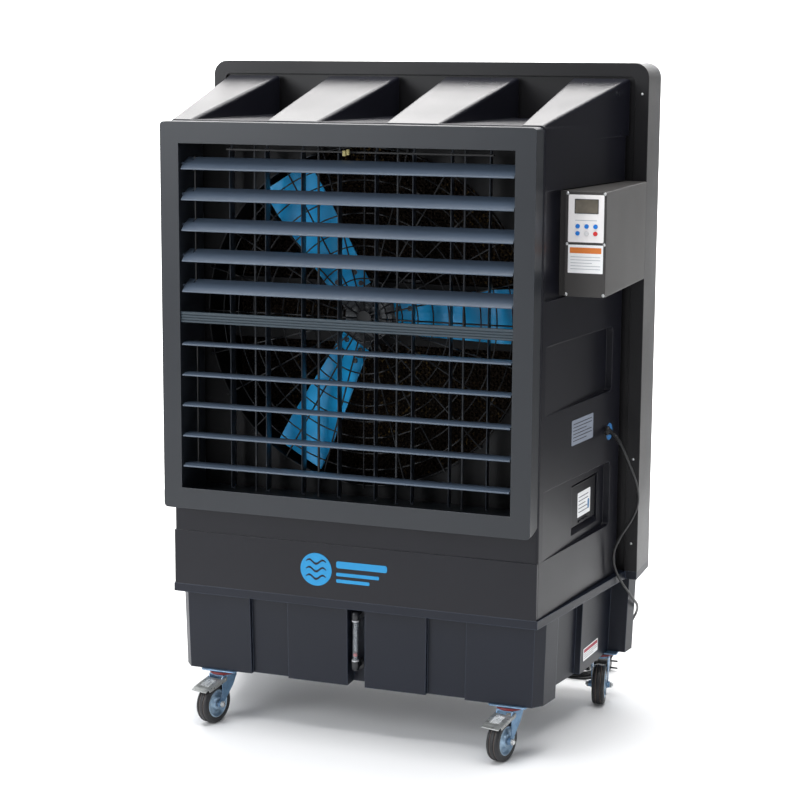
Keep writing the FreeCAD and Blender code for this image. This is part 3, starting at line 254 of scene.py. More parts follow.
def make_looks():
    looks = {}
    # the lighter edge colours given below are painted highlight and wear along the edges
    looks["casing"] = moulded("casing_black", (0.0062, 0.0064, 0.0105), 0.30, (0.075, 0.075, 0.085), 0.7)
    looks["housing"] = moulded("housing_grey", (0.0085, 0.0080, 0.0090), 0.33, (0.10, 0.095, 0.095), 0.6)
    looks["tank"] = moulded("tank_black", (0.0066, 0.0088, 0.0165), 0.38, (0.10, 0.13, 0.19), 0.7)
    looks["frame"] = smooth_plastic("frame_grey", (0.0128, 0.0155, 0.0200), 0.36, (0.13, 0.15, 0.17), 0.5)
    looks["louvre"] = smooth_plastic("louvre_grey", (0.060, 0.083, 0.118), 0.36, (0.50, 0.60, 0.70), 0.7,
                                     radius=0.002)
    looks["bar"] = smooth_plastic("bar_grey", (0.022, 0.036, 0.048), 0.42, (0.10, 0.14, 0.17), 0.5,
                                  radius=0.001)
    looks["vane"] = smooth_plastic("vane_grey", (0.020, 0.026, 0.036), 0.40, (0.20, 0.23, 0.27))
    looks["link"] = smooth_plastic("link_black", (0.010, 0.010, 0.011), 0.45, (0.06, 0.06, 0.07))
    looks["wire"] = smooth_plastic("guard_wire", (0.010, 0.011, 0.013), 0.35, (0.08, 0.085, 0.09))
    looks["elbow"] = smooth_plastic("elbow_black", (0.014, 0.015, 0.018), 0.30, (0.10, 0.11, 0.12))
    looks["line"] = printed("line_grey", (0.16, 0.17, 0.19), 0.45)
    looks["faint"] = printed("line_faint", (0.52, 0.54, 0.57), 0.45)
    looks["door"] = moulded("door_black", (0.0075, 0.0075, 0.0095), 0.28, (0.06, 0.06, 0.07), 0.6)
    looks["shroud"] = moulded("shroud_black", (0.006, 0.006, 0.007), 0.5, (0.04, 0.045, 0.055))
    looks["blade"] = smooth_plastic("blade_blue", (0.020, 0.46, 1.0), 0.25, (0.35, 0.75, 1.0), 0.6,
                                    mottle=0.10, radius=0.004)
    looks["motor"] = plated("motor_grey", (0.05, 0.05, 0.055), 0.5)
    looks["hub"] = plated("hub_metal", (0.09, 0.095, 0.10), 0.38)
    looks["pipe"] = smooth_plastic("pipe_white", (0.50, 0.50, 0.48), 0.4, (0.7, 0.7, 0.7))
    looks["pump"] = moulded("pump_black", (0.012, 0.012, 0.013), 0.5, (0.1, 0.1, 0.1))
    looks["box"] = moulded("box_grey", (0.056, 0.053, 0.051), 0.36, (0.15, 0.145, 0.14), 0.6)
    looks["keypad"] = printed("keypad_white", (0.95, 0.92, 0.91), 0.35)
    looks["blue_button"] = smooth_plastic("button_blue", (0.01, 0.20, 0.70), 0.22, (0.5, 0.8, 1.0))
    looks["white_button"] = smooth_plastic("button_white", (0.72, 0.71, 0.72), 0.25, (1, 1, 1))
    looks["red_button"] = smooth_plastic("button_red", (0.66, 0.03, 0.03), 0.22, (1.0, 0.45, 0.4))
    looks["red"] = smooth_plastic("seal_red", (0.16, 0.010, 0.014), 0.4, (0.4, 0.06, 0.06))
    looks["ball"] = smooth_plastic("ball_red", (0.80, 0.03, 0.03), 0.2, (1, 0.4, 0.3))
    looks["cord"] = rubber("cord_black", (0.011, 0.011, 0.012), 0.40)
    looks["gland"] = moulded("gland_black", (0.012, 0.012, 0.013), 0.4, (0.08, 0.08, 0.08))
    looks["zinc"] = plated("zinc_blue", (0.17, 0.30, 0.46), 0.40, (0.28, 0.36, 0.44))
    looks["disc"] = plated("disc_zinc", (0.30, 0.42, 0.54), 0.42, (0.42, 0.48, 0.52))
    looks["bright"] = plated("bright_steel", (0.55, 0.56, 0.56), 0.30, (0.40, 0.40, 0.38), (1, 1, 4))
    looks["pedal"] = plated("pedal_steel", (0.36, 0.37, 0.36), 0.34, (0.24, 0.24, 0.22), (4, 1, 1))
    looks["tyre"] = rubber("tyre_black", (0.012, 0.012, 0.014), 0.45)
    looks["groove"] = rubber("tyre_groove", (0.18, 0.145, 0.13), 0.6)
    looks["label"] = printed("label_white", (0.98, 0.985, 0.99), 0.45)
    looks["orange"] = printed("band_orange", (0.72, 0.20, 0.03), 0.45)
    looks["red_print"] = printed("band_red", (0.45, 0.03, 0.06), 0.45)
    looks["blue_print"] = printed("mark_blue", (0.05, 0.22, 0.45), 0.45)
    looks["cyan"] = printed("emblem_cyan", (0.002, 0.26, 0.56), 0.40)
    looks["plate"] = printed("plate_silver", (0.24, 0.27, 0.33), 0.40)
    looks["yellow"] = smooth_plastic("connector_yellow", (0.60, 0.52, 0.20), 0.4, (0.9, 0.85, 0.6))
    looks["collar"] = smooth_plastic("collar_white", (0.55, 0.56, 0.58), 0.35, (0.9, 0.9, 0.9))
    looks["tag"] = smooth_plastic("tag_blue", (0.03, 0.16, 0.40), 0.35, (0.3, 0.5, 0.8))
    looks["pad"] = pad_look()
    looks["glass"] = clear_look("gauge_clear", (0.86, 0.90, 0.94))
    looks["display"] = display_look()
    return looks


def pad_look():
    """Resin-soaked paper: brown, kept very dark as painted shade of the shut-in interior, streaked, with
    golden dry tips.
    """
    # the dark brown base holds painted shade, because the pad sits in the shaded interior behind the fan
    look = Look("pad_paper", (0.030, 0.018, 0.009), 0.8)
    look.mottle(0.09, 0.4, 5.0, (1, 1, 2))
    patch = look.ramp(look.noise(0.16, 2.0), 0.50, 0.66)
    specks = look.ramp(look.noise(0.010, 4.0), 0.56, 0.70, 0.0, 0.8)
    look.blend(look.math("MULTIPLY", patch, specks), (0.34, 0.22, 0.07))
    look.blend(look.ramp(look.noise(0.05, 4.0), 0.60, 0.78, 0.0, 0.6), (0.010, 0.006, 0.004))
    look.roughen(0.02, 0.1)
    look.grain(0.002, 0.0005)
    return look.done()


def clear_look(name, colour):
    look = Look(name, colour, 0.03)
    look.shader.inputs["Transmission Weight"].default_value = 0.92
    look.shader.inputs["IOR"].default_value = 1.46
    look.mottle(0.03, 0.04)
    look.roughen(0.02, 0.01)
    look.grain(0.02, 0.00001)
    return look.done()


def display_look():
    """Unlit liquid-crystal window: olive grey with a faint sheen."""
    look = Look("display_grey", (0.135, 0.115, 0.085), 0.16)
    look.shader.inputs["Coat Weight"].default_value = 0.6
    look.mottle(0.02, 0.18)
    look.roughen(0.01, 0.05)
    look.grain(0.0012, 0.00001)
    return look.done()


LOOKS = make_looks()


# ------------------------------------------------------------------ mesh helpers
def mesh_piece(name, vertices, faces, look, body, smooth=False):
    mesh = bpy.data.meshes.new(name)
    mesh.from_pydata([tuple(v) for v in vertices], [], faces)
    mesh.validate()
    mesh.materials.append(LOOKS[look])
    if smooth:
        mesh.polygons.foreach_set("use_smooth", [True] * len(mesh.polygons))
    return place_piece(name, mesh, body)


def place_piece(name, data, body):
    piece = bpy.data.objects.new(name, data)
    bpy.context.scene.collection.objects.link(piece)
    bpy.context.view_layer.update()
    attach(piece, body)
    return piece


def bmesh_piece(name, make, look, body, smooth=False):
    mesh = bpy.data.meshes.new(name)
    shape = bmesh.new()
    make(shape)
    bmesh.ops.recalc_face_normals(shape, faces=shape.faces)
    if smooth:
        for face in shape.faces:
            face.smooth = True
    shape.to_mesh(mesh)
    shape.free()
    mesh.materials.append(LOOKS[look])
    return place_piece(name, mesh, body)


def soften(piece, width, segments=2, angle=35):
    bevel = piece.modifiers.new("bevel", "BEVEL")
    bevel.width = width
    bevel.segments = segments
    bevel.limit_method = "ANGLE"
    bevel.angle_limit = math.radians(angle)


def split_edges(piece, angle):
    """Keeps edges sharper than angle crisp under smooth shading."""
    split = piece.modifiers.new("split", "EDGE_SPLIT")
    split.split_angle = math.radians(angle)


def basis(origin, x_axis, y_axis):
    """Frame with the given origin, x and y directions; z is across both."""
    x_axis = Vector(x_axis).normalized()
    y_axis = (Vector(y_axis) - x_axis * x_axis.dot(Vector(y_axis))).normalized()
    turn = Matrix((x_axis, y_axis, x_axis.cross(y_axis))).transposed()
    return Matrix.Translation(Vector(origin)) @ turn.to_4x4()


def add_lathe(shape, profile, place, segments=48):
    """Turns (radius, height) points about the frame's z axis and gives back the rings."""
    rings = []
    for radius, height in profile:
        ring = []
        for step in range(segments):
            angle = 2 * math.pi * step / segments
            ring.append(shape.verts.new(place @ Vector((radius * math.cos(angle),
                                                        radius * math.sin(angle), height))))
        rings.append(ring)
    for lower, upper in zip(rings, rings[1:]):
        for step in range(segments):
            after = (step + 1) % segments
            shape.faces.new((lower[step], lower[after], upper[after], upper[step]))
    return rings


def close_ring(shape, ring):
    shape.faces.new(ring)


def add_turned_solid(shape, profile, place, segments=48):
    rings = add_lathe(shape, profile, place, segments)
    close_ring(shape, rings[0])
    close_ring(shape, rings[-1])


def add_turned_ring(shape, profile, place, segments=48):
    """Closed profile turned about z, such as a tyre."""
    rings = add_lathe(shape, profile, place, segments)
    for step in range(segments):
        after = (step + 1) % segments
        shape.faces.new((rings[-1][step], rings[-1][after], rings[0][after], rings[0][step]))


def rounded_outline(width, height, radius, steps=6):
    points = []
    for cx, cy, start in ((1, 1, 0), (-1, 1, 90), (-1, -1, 180), (1, -1, 270)):
        for step in range(steps + 1):
            angle = math.radians(start + 90 * step / steps)
            points.append((cx * (width / 2 - radius) + radius * math.cos(angle),
                           cy * (height / 2 - radius) + radius * math.sin(angle)))
    return points


def add_slab(shape, outline, depth, place):
    """Flat outline pushed along z by depth."""
    low = [shape.verts.new(place @ Vector((x, y, 0))) for x, y in outline]
    high = [shape.verts.new(place @ Vector((x, y, depth))) for x, y in outline]
    shape.faces.new(list(reversed(low)))
    shape.faces.new(high)
    count = len(outline)
    for step in range(count):
        after = (step + 1) % count
        shape.faces.new((low[step], low[after], high[after], high[step]))


def sweep(name, points, radii, look, body, sides=16):
    """Round tube through points, with one radius per point."""
    def make(shape):
        rings = []
        across = None
        for index, point in enumerate(points):
            ahead = points[min(index + 1, len(points) - 1)]
            behind = points[max(index - 1, 0)]
            way = (ahead - behind).normalized()
            if across is None:
                across = way.orthogonal().normalized()
            across = (across - way * across.dot(way)).normalized()
            other = way.cross(across)
            ring = []
            for step in range(sides):
                angle = 2 * math.pi * step / sides
                ring.append(shape.verts.new(point + radii[index] * (across * math.cos(angle)
                                                                   + other * math.sin(angle))))
            rings.append(ring)
        for lower, upper in zip(rings, rings[1:]):
            for step in range(sides):
                after = (step + 1) % sides
                shape.faces.new((lower[step], lower[after], upper[after], upper[step]))
        close_ring(shape, rings[0])
        close_ring(shape, rings[-1])
    return bmesh_piece(name, make, look, body, smooth=True)


# ------------------------------------------------------------------ cord
CORD_RADIUS = 0.00325
# the cord's route from the gland to the coil, given point by point
CORD_ROUTE = ((0.5339, 0.1022, 0.7205), (0.5458, 0.1004, 0.7102), (0.5586, 0.1032, 0.6885),
              (0.5700, 0.1160, 0.6520), (0.5810, 0.1360, 0.6140), (0.5870, 0.1580, 0.5730),
              (0.5840, 0.1730, 0.5310), (0.5680, 0.1640, 0.4920), (0.5470, 0.1470, 0.4580),
              (0.5330, 0.1310, 0.4200), (0.5350, 0.1370, 0.3820), (0.5460, 0.1600, 0.3420),
              (0.5590, 0.1970, 0.3040), (0.5640, 0.2440, 0.2720), (0.5630, 0.2940, 0.2440),
              (0.5510, 0.3400, 0.2120), (0.5290, 0.3730, 0.1740), (0.5030, 0.3880, 0.1300),
              (0.4820, 0.3910, 0.0860), (0.4660, 0.3880, 0.0460), (0.4460, 0.3830, 0.0170),
              (0.4180, 0.3800, 0.0044), (0.3880, 0.3800, 0.0034))
COIL_CENTRE = (0.372, 0.4305)
# radius and height of the cord in each of its places, in the order it is wound
COIL_TURNS = ((0.0510, 0.0034), (0.0444, 0.0034), (0.0378, 0.0034),
              (0.0378, 0.0100), (0.0444, 0.0100), (0.0510, 0.0100), (0.0510, 0.0166))
COIL_STEP = 1 / 4          # part of a turn in which the cord moves to its next place
COIL_LENGTH = 5.5          # turns
POINTS_PER_TURN = 24


def coil_points():
    """Turns wound clockwise from the coil's front; the cord changes place as it goes round."""
    points = []
    count = int(COIL_LENGTH * POINTS_PER_TURN)
    for index in range(count + 1):
        turn = index / POINTS_PER_TURN
        radius, height = COIL_TURNS[0]
        for move in range(1, len(COIL_TURNS)):
            start = move * (1 - COIL_STEP)
            part = min(1.0, max(0.0, (turn - start) / COIL_STEP))
            part = part * part * (3 - 2 * part)
            radius += (COIL_TURNS[move][0] - COIL_TURNS[move - 1][0]) * part
            height += (COIL_TURNS[move][1] - COIL_TURNS[move - 1][1]) * part
        angle = -math.pi / 2 - 2 * math.pi * turn
        points.append((COIL_CENTRE[0] + radius * math.cos(angle),
                       COIL_CENTRE[1] + radius * math.sin(angle), height))
    return points


def make_cord():
    plug_low, plug_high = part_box("plug")
    nose = (plug_low[0], (plug_low[1] + plug_high[1]) / 2, (plug_low[2] + plug_high[2]) / 2)
    points = list(CORD_ROUTE) + coil_points()
    points.append((nose[0] - 0.006, nose[1], nose[2] + 0.001))
    points.append((nose[0] + 0.004, nose[1], nose[2]))
    curve = bpy.data.curves.new("mains_cord", "CURVE")
    curve.dimensions = "3D"
    spline = curve.splines.new("NURBS")
    spline.points.add(len(points) - 1)
    for point, place in zip(spline.points, points):
        point.co = (*place, 1)
    spline.order_u = 3
    spline.use_endpoint_u = True
    spline.resolution_u = 6
    curve.bevel_depth = CORD_RADIUS
    curve.bevel_resolution = 5
    curve.use_fill_caps = True
    curve.materials.append(LOOKS["cord"])
    cord = place_piece("mains_cord", curve, ROOT)
    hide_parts("cord_tube", "cord_coil")
    relief = make_strain_relief()


RELIEF_RIBS = 5


def make_strain_relief():
    """Ribbed taper round the first stretch of the cord."""
    start, bend, after = (Vector(p) for p in CORD_ROUTE[:3])
    stop = (bend + after) / 2
    points, radii = [], []
    steps = 30
    for step in range(steps + 1):
        t = step / steps
        point = start * (1 - t) ** 2 + bend * 2 * t * (1 - t) + stop * t ** 2
        rib = 0.0006 if int(t * RELIEF_RIBS * 2) % 2 == 0 and t < 0.85 else 0.0
        points.append(point)
        radii.append(0.0062 - 0.0017 * t + rib)
    return sweep("strain_relief", points, radii, "gland", ROOT, sides=20)


make_cord()


# ------------------------------------------------------------------ materials on CAD nodes
def paint(node, look):
    data = NODES[node].data
    data.materials.clear()
    data.materials.append(LOOKS[look])


def paint_nodes():
    fixed = {"casing": "casing", "pad_housing": "housing", "water_tank": "tank",
             "louvre_frame": "frame", "centre_bar": "bar", "fan_guard": "wire",
             "fan_shroud": "shroud", "fan_motor": "motor", "fan_hub": "hub",
             "fan_blades": "blade", "control_box": "box", "keypad_plate": "keypad",
             "water_pipe": "pipe", "pump": "pump", "cable_gland": "gland", "plug": "cord",
             "caster_plates": "zinc", "vane_rod": "link", "fill_door": "door",
             "gauge_ball": "ball", "upper_louvre_link": "link", "lower_louvre_link": "link",
             "button_5": "white_button", "button_6": "red_button"}
    for node in NODES:
        if node in fixed:
            paint(node, fixed[node])
        elif "_louvre_" in node:
            paint(node, "louvre")
        elif node.startswith("vane_"):
            paint(node, "vane")
        elif node.startswith("button_"):
            paint(node, "blue_button")
        elif node.startswith("fork_"):
            paint(node, "zinc")
        elif node.startswith("brake_"):
            paint(node, "pedal")


paint_nodes()


# ------------------------------------------------------------------ casters
SWIVELS = {joint["name"]: joint for joint in frame["joints"]}


def wheel_place(name):
    """Frame at the wheel's centre, z along its axle and towards +X."""
    joint = SWIVELS["roll_%s" % name]
    axle = Vector(joint["axis"])
    return axle_basis(joint["pos_m"], axle)


def axle_basis(origin, axle):
    side = Vector((0, 0, 1)).cross(axle).normalized()
    turn = Matrix((side, axle.cross(side), axle)).transposed()
    return Matrix.Translation(Vector(origin)) @ turn.to_4x4()



def tyre_profile():
    """Rubber tread with two grooves, from the hub seat round to the hub seat."""
    half = [(0.0335, 0.0125), (0.0345, 0.0148), (0.038, 0.0156), (0.0445, 0.0158), (0.0475, 0.0145),
            (0.0492, 0.0118), (0.0498, 0.0080), (0.0497, 0.0074), (0.0478, 0.0068), (0.0478, 0.0050),
            (0.0497, 0.0044), (0.0500, 0.0036), (0.0500, 0.0000)]
    return half + [(r, -h) for r, h in reversed(half[:-1])]


def hub_profile(side):
    """Dished steel disc: rim bead, trough, raised centre boss."""
    points = [(0.0345, 0.0120), (0.0350, 0.0150), (0.0330, 0.0158), (0.0315, 0.0150), (0.0300, 0.0110),
              (0.0270, 0.0085), (0.0225, 0.0080), (0.0185, 0.0098), (0.0165, 0.0130), (0.0150, 0.0160),
              (0.0120, 0.0166), (0.0095, 0.0166), (0.0095, 0.0120), (0.0120, 0.0060), (0.0345, 0.0060)]
    return [(r, side * h) for r, h in points]


def make_wheel(name):
    body = "wheel_%s_body" % name
    place = wheel_place(name)
    tyre = bmesh_piece("tyre_" + name, lambda s: add_turned_ring(s, tyre_profile(), place, 72),
                       "tyre", body, smooth=True)

    def discs(shape):
        for side in (-1, 1):
            add_turned_ring(shape, hub_profile(side), place, 64)
        add_turned_ring(shape, [(0.0100, -0.0165), (0.0100, 0.0165), (0.0056, 0.0165), (0.0056, -0.0165)],
                        place, 32)
    hub = bmesh_piece("hub_disc_" + name, discs, "disc", body, smooth=True)

    def grooves(shape):
        for side in (-1, 1):
            groove = [(0.0484, side * 0.0066), (0.0484, side * 0.0052),
                      (0.0476, side * 0.0052), (0.0476, side * 0.0066)]
            add_turned_ring(shape, groove, place, 72)
    bmesh_piece("tyre_grooves_" + name, grooves, "groove", body, smooth=True)
    for piece in (tyre, hub):
        split_edges(piece, 38)
    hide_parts("wheel_" + name)


def make_swivel_trim(name):
    """Red seal ring under the fixed plate and the hexagon heads on the axle's ends."""
    swivel = Vector(SWIVELS["swivel_" + name]["pos_m"])
    _, fork_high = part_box("fork_" + name)
    place = Matrix.Translation((swivel.x, swivel.y, fork_high[2] + 0.0006))
    profile = [(0.0255, 0.0), (0.0310, 0.0), (0.0325, 0.0022), (0.0318, 0.0058), (0.0300, 0.0068),
               (0.0292, 0.0050), (0.0262, 0.0012)]
    seal = bmesh_piece("swivel_seal_" + name, lambda s: add_turned_ring(s, profile, place, 56),
                       "red", ROOT, smooth=True)
    soften(seal, 0.0005)
    axle = wheel_place(name)

    def nuts(shape):
        for side in (-1, 1):
            start = axle @ Matrix.Translation((0, 0, side * 0.0270 - (0.005 if side < 0 else 0)))
            outline = [(0.0078 * math.cos(math.radians(60 * k)), 0.0078 * math.sin(math.radians(60 * k)))
                       for k in range(6)]
            add_slab(shape, outline, 0.005, start)
            tip = axle @ Matrix.Translation((0, 0, side * 0.0320))
            add_turned_solid(shape, [(0.0045, 0), (0.0045, side * 0.0022), (0.0036, side * 0.003)], tip, 20)
    nut = bmesh_piece("axle_nuts_" + name, nuts, "bright", "fork_%s_body" % name)
    soften(nut, 0.0006)


def make_pedal_patch(name):
    """Embossed tread plate on the brake pedal."""
    joint = SWIVELS["brake_" + name]
    axle = Vector(joint["axis"])
    pivot = Vector(joint["pos_m"])
    ahead = Vector((axle.y, -axle.x, 0))
    slope = -11.7 / 53.0
    down = (ahead + Vector((0, 0, slope))).normalized()
    centre = pivot + ahead * 0.037 + Vector((0, 0, -0.0036))
    place = basis(centre, axle, down * -1)

    def ridges(shape):
        add_slab(shape, rounded_outline(0.030, 0.036, 0.004), 0.0009, place)
        for index in range(7):
            shift = Matrix.Translation((0, (index - 3) * 0.0045, 0.0009))
            add_slab(shape, rounded_outline(0.024, 0.0018, 0.0008, 3), 0.0007, place @ shift)
    patch = bmesh_piece("pedal_tread_" + name, ridges, "bright", "brake_pedal_%s_body" % name)
    soften(patch, 0.0003)


for caster in ("front_left", "front_right", "rear_left", "rear_right"):
    make_wheel(caster)
    make_swivel_trim(caster)
for caster in ("front_left", "front_right"):
    make_pedal_patch(caster)


# ------------------------------------------------------------------ control box trim
def front_frame(x, y, z):
    """Frame on a face that looks towards -Y: x to the right, y up, z out."""
    return Matrix.Translation((x, y, z)) @ Matrix.Rotation(math.radians(90), 4, "X")


def add_screw(shape, place, radius, height):
    """Pan head with a shallow dish and a cross on its face."""
    profile = [(radius, 0.0), (radius, height * 0.35), (radius * 0.86, height * 0.8),
               (radius * 0.55, height), (radius * 0.30, height), (radius * 0.24, height * 0.45)]
    rings = add_lathe(shape, profile, place, 20)
    close_ring(shape, rings[0])
    close_ring(shape, rings[-1])
    for turn in (0, 90):
        arm = place @ Matrix.Rotation(math.radians(turn), 4, "Z") @ Matrix.Translation((0, 0, height))
        add_slab(shape, rounded_outline(radius * 1.1, radius * 0.22, radius * 0.08, 2), radius * 0.04, arm)


# left, right, bottom and top of the display's window, and the size of the label below it
DISPLAY_WINDOW = (0.505, 0.557, 1.282, 1.312)
BOX_LABEL = (0.081, 0.064)
BOX_LABEL_GAP = 0.006


def make_control_trim():
    box_low, box_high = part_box("control_box")
    pad_low, pad_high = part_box("keypad_plate")
    face_y = box_low[1]
    screw_x = (pad_low[0] - 0.0025, box_high[0] - 0.0035)
    screw_z = (box_low[2] + 0.005, pad_low[2] - 0.0045, box_high[2] - 0.0045)

    def screws(shape):
        for x in screw_x:
            for z in screw_z:
                add_screw(shape, front_frame(x, face_y, z), 0.0036, 0.0022)
    bmesh_piece("cover_screws", screws, "bright", ROOT, smooth=True)

    left, right, bottom, top = DISPLAY_WINDOW
    centre = ((left + right) / 2, (bottom + top) / 2)
    size = (right - left, top - bottom)

    def bezel(shape):
        place = front_frame(centre[0], pad_low[1], centre[1])
        outer = rounded_outline(size[0] + 0.0030, size[1] + 0.0030, 0.0015)
        inner = rounded_outline(size[0], size[1], 0.0008)
        add_band(shape, outer, inner, 0.0006, place)
    bmesh_piece("display_bezel", bezel, "link", ROOT)
    bmesh_piece("display_window",
                lambda s: add_slab(s, rounded_outline(size[0], size[1], 0.0008), 0.0003,
                                   front_frame(centre[0], pad_low[1], centre[1])),
                "display", ROOT)
    label_x = (pad_low[0] + pad_high[0]) / 2
    label_z = pad_low[2] - BOX_LABEL_GAP - BOX_LABEL[1] / 2
    bmesh_piece("box_label",
                lambda s: add_slab(s, rounded_outline(*BOX_LABEL, 0.0015), 0.0004,
                                   front_frame(label_x, face_y, label_z)),
                "label", ROOT)
    band_place = front_frame(label_x, face_y - 0.0004, label_z + BOX_LABEL[1] / 2 - 0.0125)
    bmesh_piece("box_label_band",
                lambda s: add_slab(s, rounded_outline(BOX_LABEL[0] - 0.008, 0.013, 0.0006), 0.0002,
                                   band_place),
                "orange", ROOT)


def add_band(shape, outer, inner, depth, place):
    """Raised flat ring between two outlines that have the same number of points."""
    loops = []
    for outline, height in ((outer, 0), (outer, depth), (inner, depth), (inner, 0)):
        loops.append([shape.verts.new(place @ Vector((x, y, height))) for x, y in outline])
    count = len(outer)
    for first, second in zip(loops, loops[1:] + loops[:1]):
        for step in range(count):
            after = (step + 1) % count
            shape.faces.new((first[step], first[after], second[after], second[step]))


make_control_trim()


# ------------------------------------------------------------------ labels, emblem, screws
WALL_SLOPE = 0.146
WALL_FRONT = (0.457, -0.288)
BAND_PROUD = 0.003
DOOR_BODY = "fill_door_body"


def side_frame(y, z):
    """Frame on the right wall: x rearwards, y up, z out of the wall."""
    x = WALL_FRONT[0] + WALL_SLOPE * (y - WALL_FRONT[1])
    return basis((x, y, z), Vector((WALL_SLOPE, 1, 0)).normalized(), (0, 0, 1))


def label(name, place, size, look, corner=0.0015, body=ROOT):
    bmesh_piece(name, lambda s: add_slab(s, rounded_outline(*size, corner), 0.0004, place), look, body)


def make_rules(name, place, size, rows, look="line", body=ROOT):
    """Thin plain lines across a label, every third one shorter."""
    def rules(shape):
        pitch = size[1] / rows
        for row in range(rows):
            length = size[0] * (0.72 if row % 3 == 2 else 1.0)
            shift = Matrix.Translation(((length - size[0]) / 2, size[1] / 2 - (row + 0.5) * pitch, 0))
            add_slab(shape, rounded_outline(length, pitch * 0.22, pitch * 0.05, 2), 0.0002, place @ shift)
    bmesh_piece(name, rules, look, body)


def make_labels():
    plate_place = side_frame(-0.041, 0.7575)
    label("rating_plate", plate_place, (0.130, 0.060), "plate", 0.003)
    lifted = plate_place @ Matrix.Translation((0, 0, 0.0004))
    make_rules("rating_plate_rules", lifted, (0.112, 0.048), 6, "link")
    door_low, door_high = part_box("fill_door")
    middle = (door_low[1] + door_high[1]) / 2
    outward = fill_door_frame(middle + 0.006, 0.5680)
    label("fill_door_label", outward, (0.086, 0.060), "label", body=DOOR_BODY)
    rules = outward @ Matrix.Translation((-0.004, 0, 0.0004))
    make_rules("fill_door_rules", rules, (0.066, 0.046), 5, body=DOOR_BODY)
    label("fill_door_mark", outward @ Matrix.Translation((0.030, -0.008, 0.0004)),
          (0.010, 0.024), "blue_print", 0.0045, DOOR_BODY)
    box_low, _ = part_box("control_box")
    pad_low, pad_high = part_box("keypad_plate")
    pad_x = (pad_low[0] + pad_high[0]) / 2
    make_rules("keypad_rule", front_frame(pad_x, pad_low[1], 1.2655), (0.050, 0.007), 1, "faint")
    note_place = front_frame(pad_x, box_low[1] - 0.0004, pad_low[2] - 0.047)
    make_rules("box_label_rules", note_place, (0.069, 0.034), 5, "faint")
    tank_place = tank_side_frame(0.108, 0.1725)
    label("tank_label", tank_place, (0.108, 0.031), "label")
    lifted = tank_place @ Matrix.Translation((0, 0.0085, 0.0004))
    label("tank_label_band", lifted, (0.098, 0.008), "red_print")
    lifted = tank_place @ Matrix.Translation((0, -0.0045, 0.0004))
    make_rules("tank_label_rules", lifted, (0.096, 0.015), 3)


def tank_side_frame(y, z):
    """Frame on the recessed part of the tank's right side."""
    slope = 0.0870
    grown = 1 + 0.012 * (z - 0.130) / 0.203
    x = (0.4796 + slope * (y / grown - 0.034)) * grown + 0.0002
    return basis((x, y, z), Vector((slope, 1, 0)).normalized(), (0, 0, 1))


def fill_door_frame(y, z):
    """Frame on the fill door's outer face."""
    slope = 0.106
    across = Vector((slope, 1, 0)).normalized()
    out = Vector((1, -slope, 0)).normalized()
    floor_x = 0.4608 + slope * (y + 0.262)
    return basis(Vector((floor_x, y, z)) - out * 0.0040, across, (0, 0, 1))


EMBLEM_CENTRE = (-0.0855, 0.4230)
EMBLEM_RADIUS = 0.0400
# centre x, centre z, length and height of the plain bars beside the disc
EMBLEM_BARS = ((0.030, 0.4395, 0.128, 0.0170),
               (0.020, 0.4160, 0.108, 0.0085),
               (0.008, 0.4000, 0.084, 0.0085))


def make_emblem():
    """Plain mark on the lower front band: a disc crossed by three waves, and three bars."""
    band_y = WALL_FRONT[1] - BAND_PROUD
    disc_x, disc_z = EMBLEM_CENTRE

    def disc(shape):
        place = front_frame(disc_x, band_y, disc_z)
        add_turned_solid(shape, [(EMBLEM_RADIUS, 0.0), (EMBLEM_RADIUS, 0.0006),
                                 (EMBLEM_RADIUS - 0.0005, 0.0009)], place, 72)
        for x, z, length, height in EMBLEM_BARS:
            add_slab(shape, rounded_outline(length, height, height * 0.3), 0.0009,
                     front_frame(x, band_y, z))
    emblem = bmesh_piece("front_emblem", disc, "cyan", ROOT)
    soften(emblem, 0.0003)

    def waves(shape):
        place = front_frame(disc_x, band_y - 0.0009, disc_z)
        for row in (-1, 0, 1):
            add_slab(shape, wave_outline(0.052, 0.0048, 0.0050, row * 0.0185), 0.0004, place)
    bmesh_piece("emblem_waves", waves, "tank", ROOT)


def wave_outline(width, rise, thick, height):
    """Flat wavy strip whose ends taper."""
    steps = 36
    top, bottom = [], []
    for step in range(steps + 1):
        part = step / steps
        x = (part - 0.5) * width
        middle = height + rise * math.sin(3 * math.pi * part)
        half = thick / 2 * math.sin(math.pi * part) ** 0.35 + 0.0003
        top.append((x, middle + half))
        bottom.append((x, middle - half))
    return bottom + list(reversed(top))


CONNECTOR_AT = (-0.013, -0.284, 1.409)


def make_connector():
    """Small lead connector hanging from the duct's top behind the upper louvres."""
    x, y, z = CONNECTOR_AT

    def blocks(shape):
        for shift, width in ((-0.0045, 0.0080), (0.0045, 0.0064)):
            place = Matrix.Translation((x + shift, y, z - 0.006 + shift * 0.3))
            add_slab(shape, rounded_outline(width, 0.0080, 0.0012, 3), 0.0125, place)
    block = bmesh_piece("lead_connector", blocks, "yellow", ROOT)
    soften(block, 0.0005)
    for number, shift in enumerate((-0.0050, 0.0048)):
        start = Vector((x + shift, y, z + 0.006))
        stop = Vector((x + shift * 2.2, y + 0.002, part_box("louvre_frame")[1][2] - 0.037))
        points = []
        for step in range(13):
            part = step / 12
            bow = math.sin(math.pi * part) * 0.004 * (1 if number else -1)
            points.append(start.lerp(stop, part) + Vector((bow, 0, 0)))
        sweep("connector_lead_%d" % (number + 1), points, [0.0011] * len(points), "link", ROOT, sides=10)


def make_gland_tag():
    """Plain oval tag on the wall beside the cord's gland."""
    place = side_frame(0.127, 0.7235)
    outer = [(0.0190 * math.cos(math.radians(9 * k)), 0.0210 * math.sin(math.radians(9 * k)))
             for k in range(40)]
    tag = bmesh_piece("gland_tag", lambda s: add_slab(s, outer, 0.0009, place), "tag", ROOT)
    soften(tag, 0.0003)


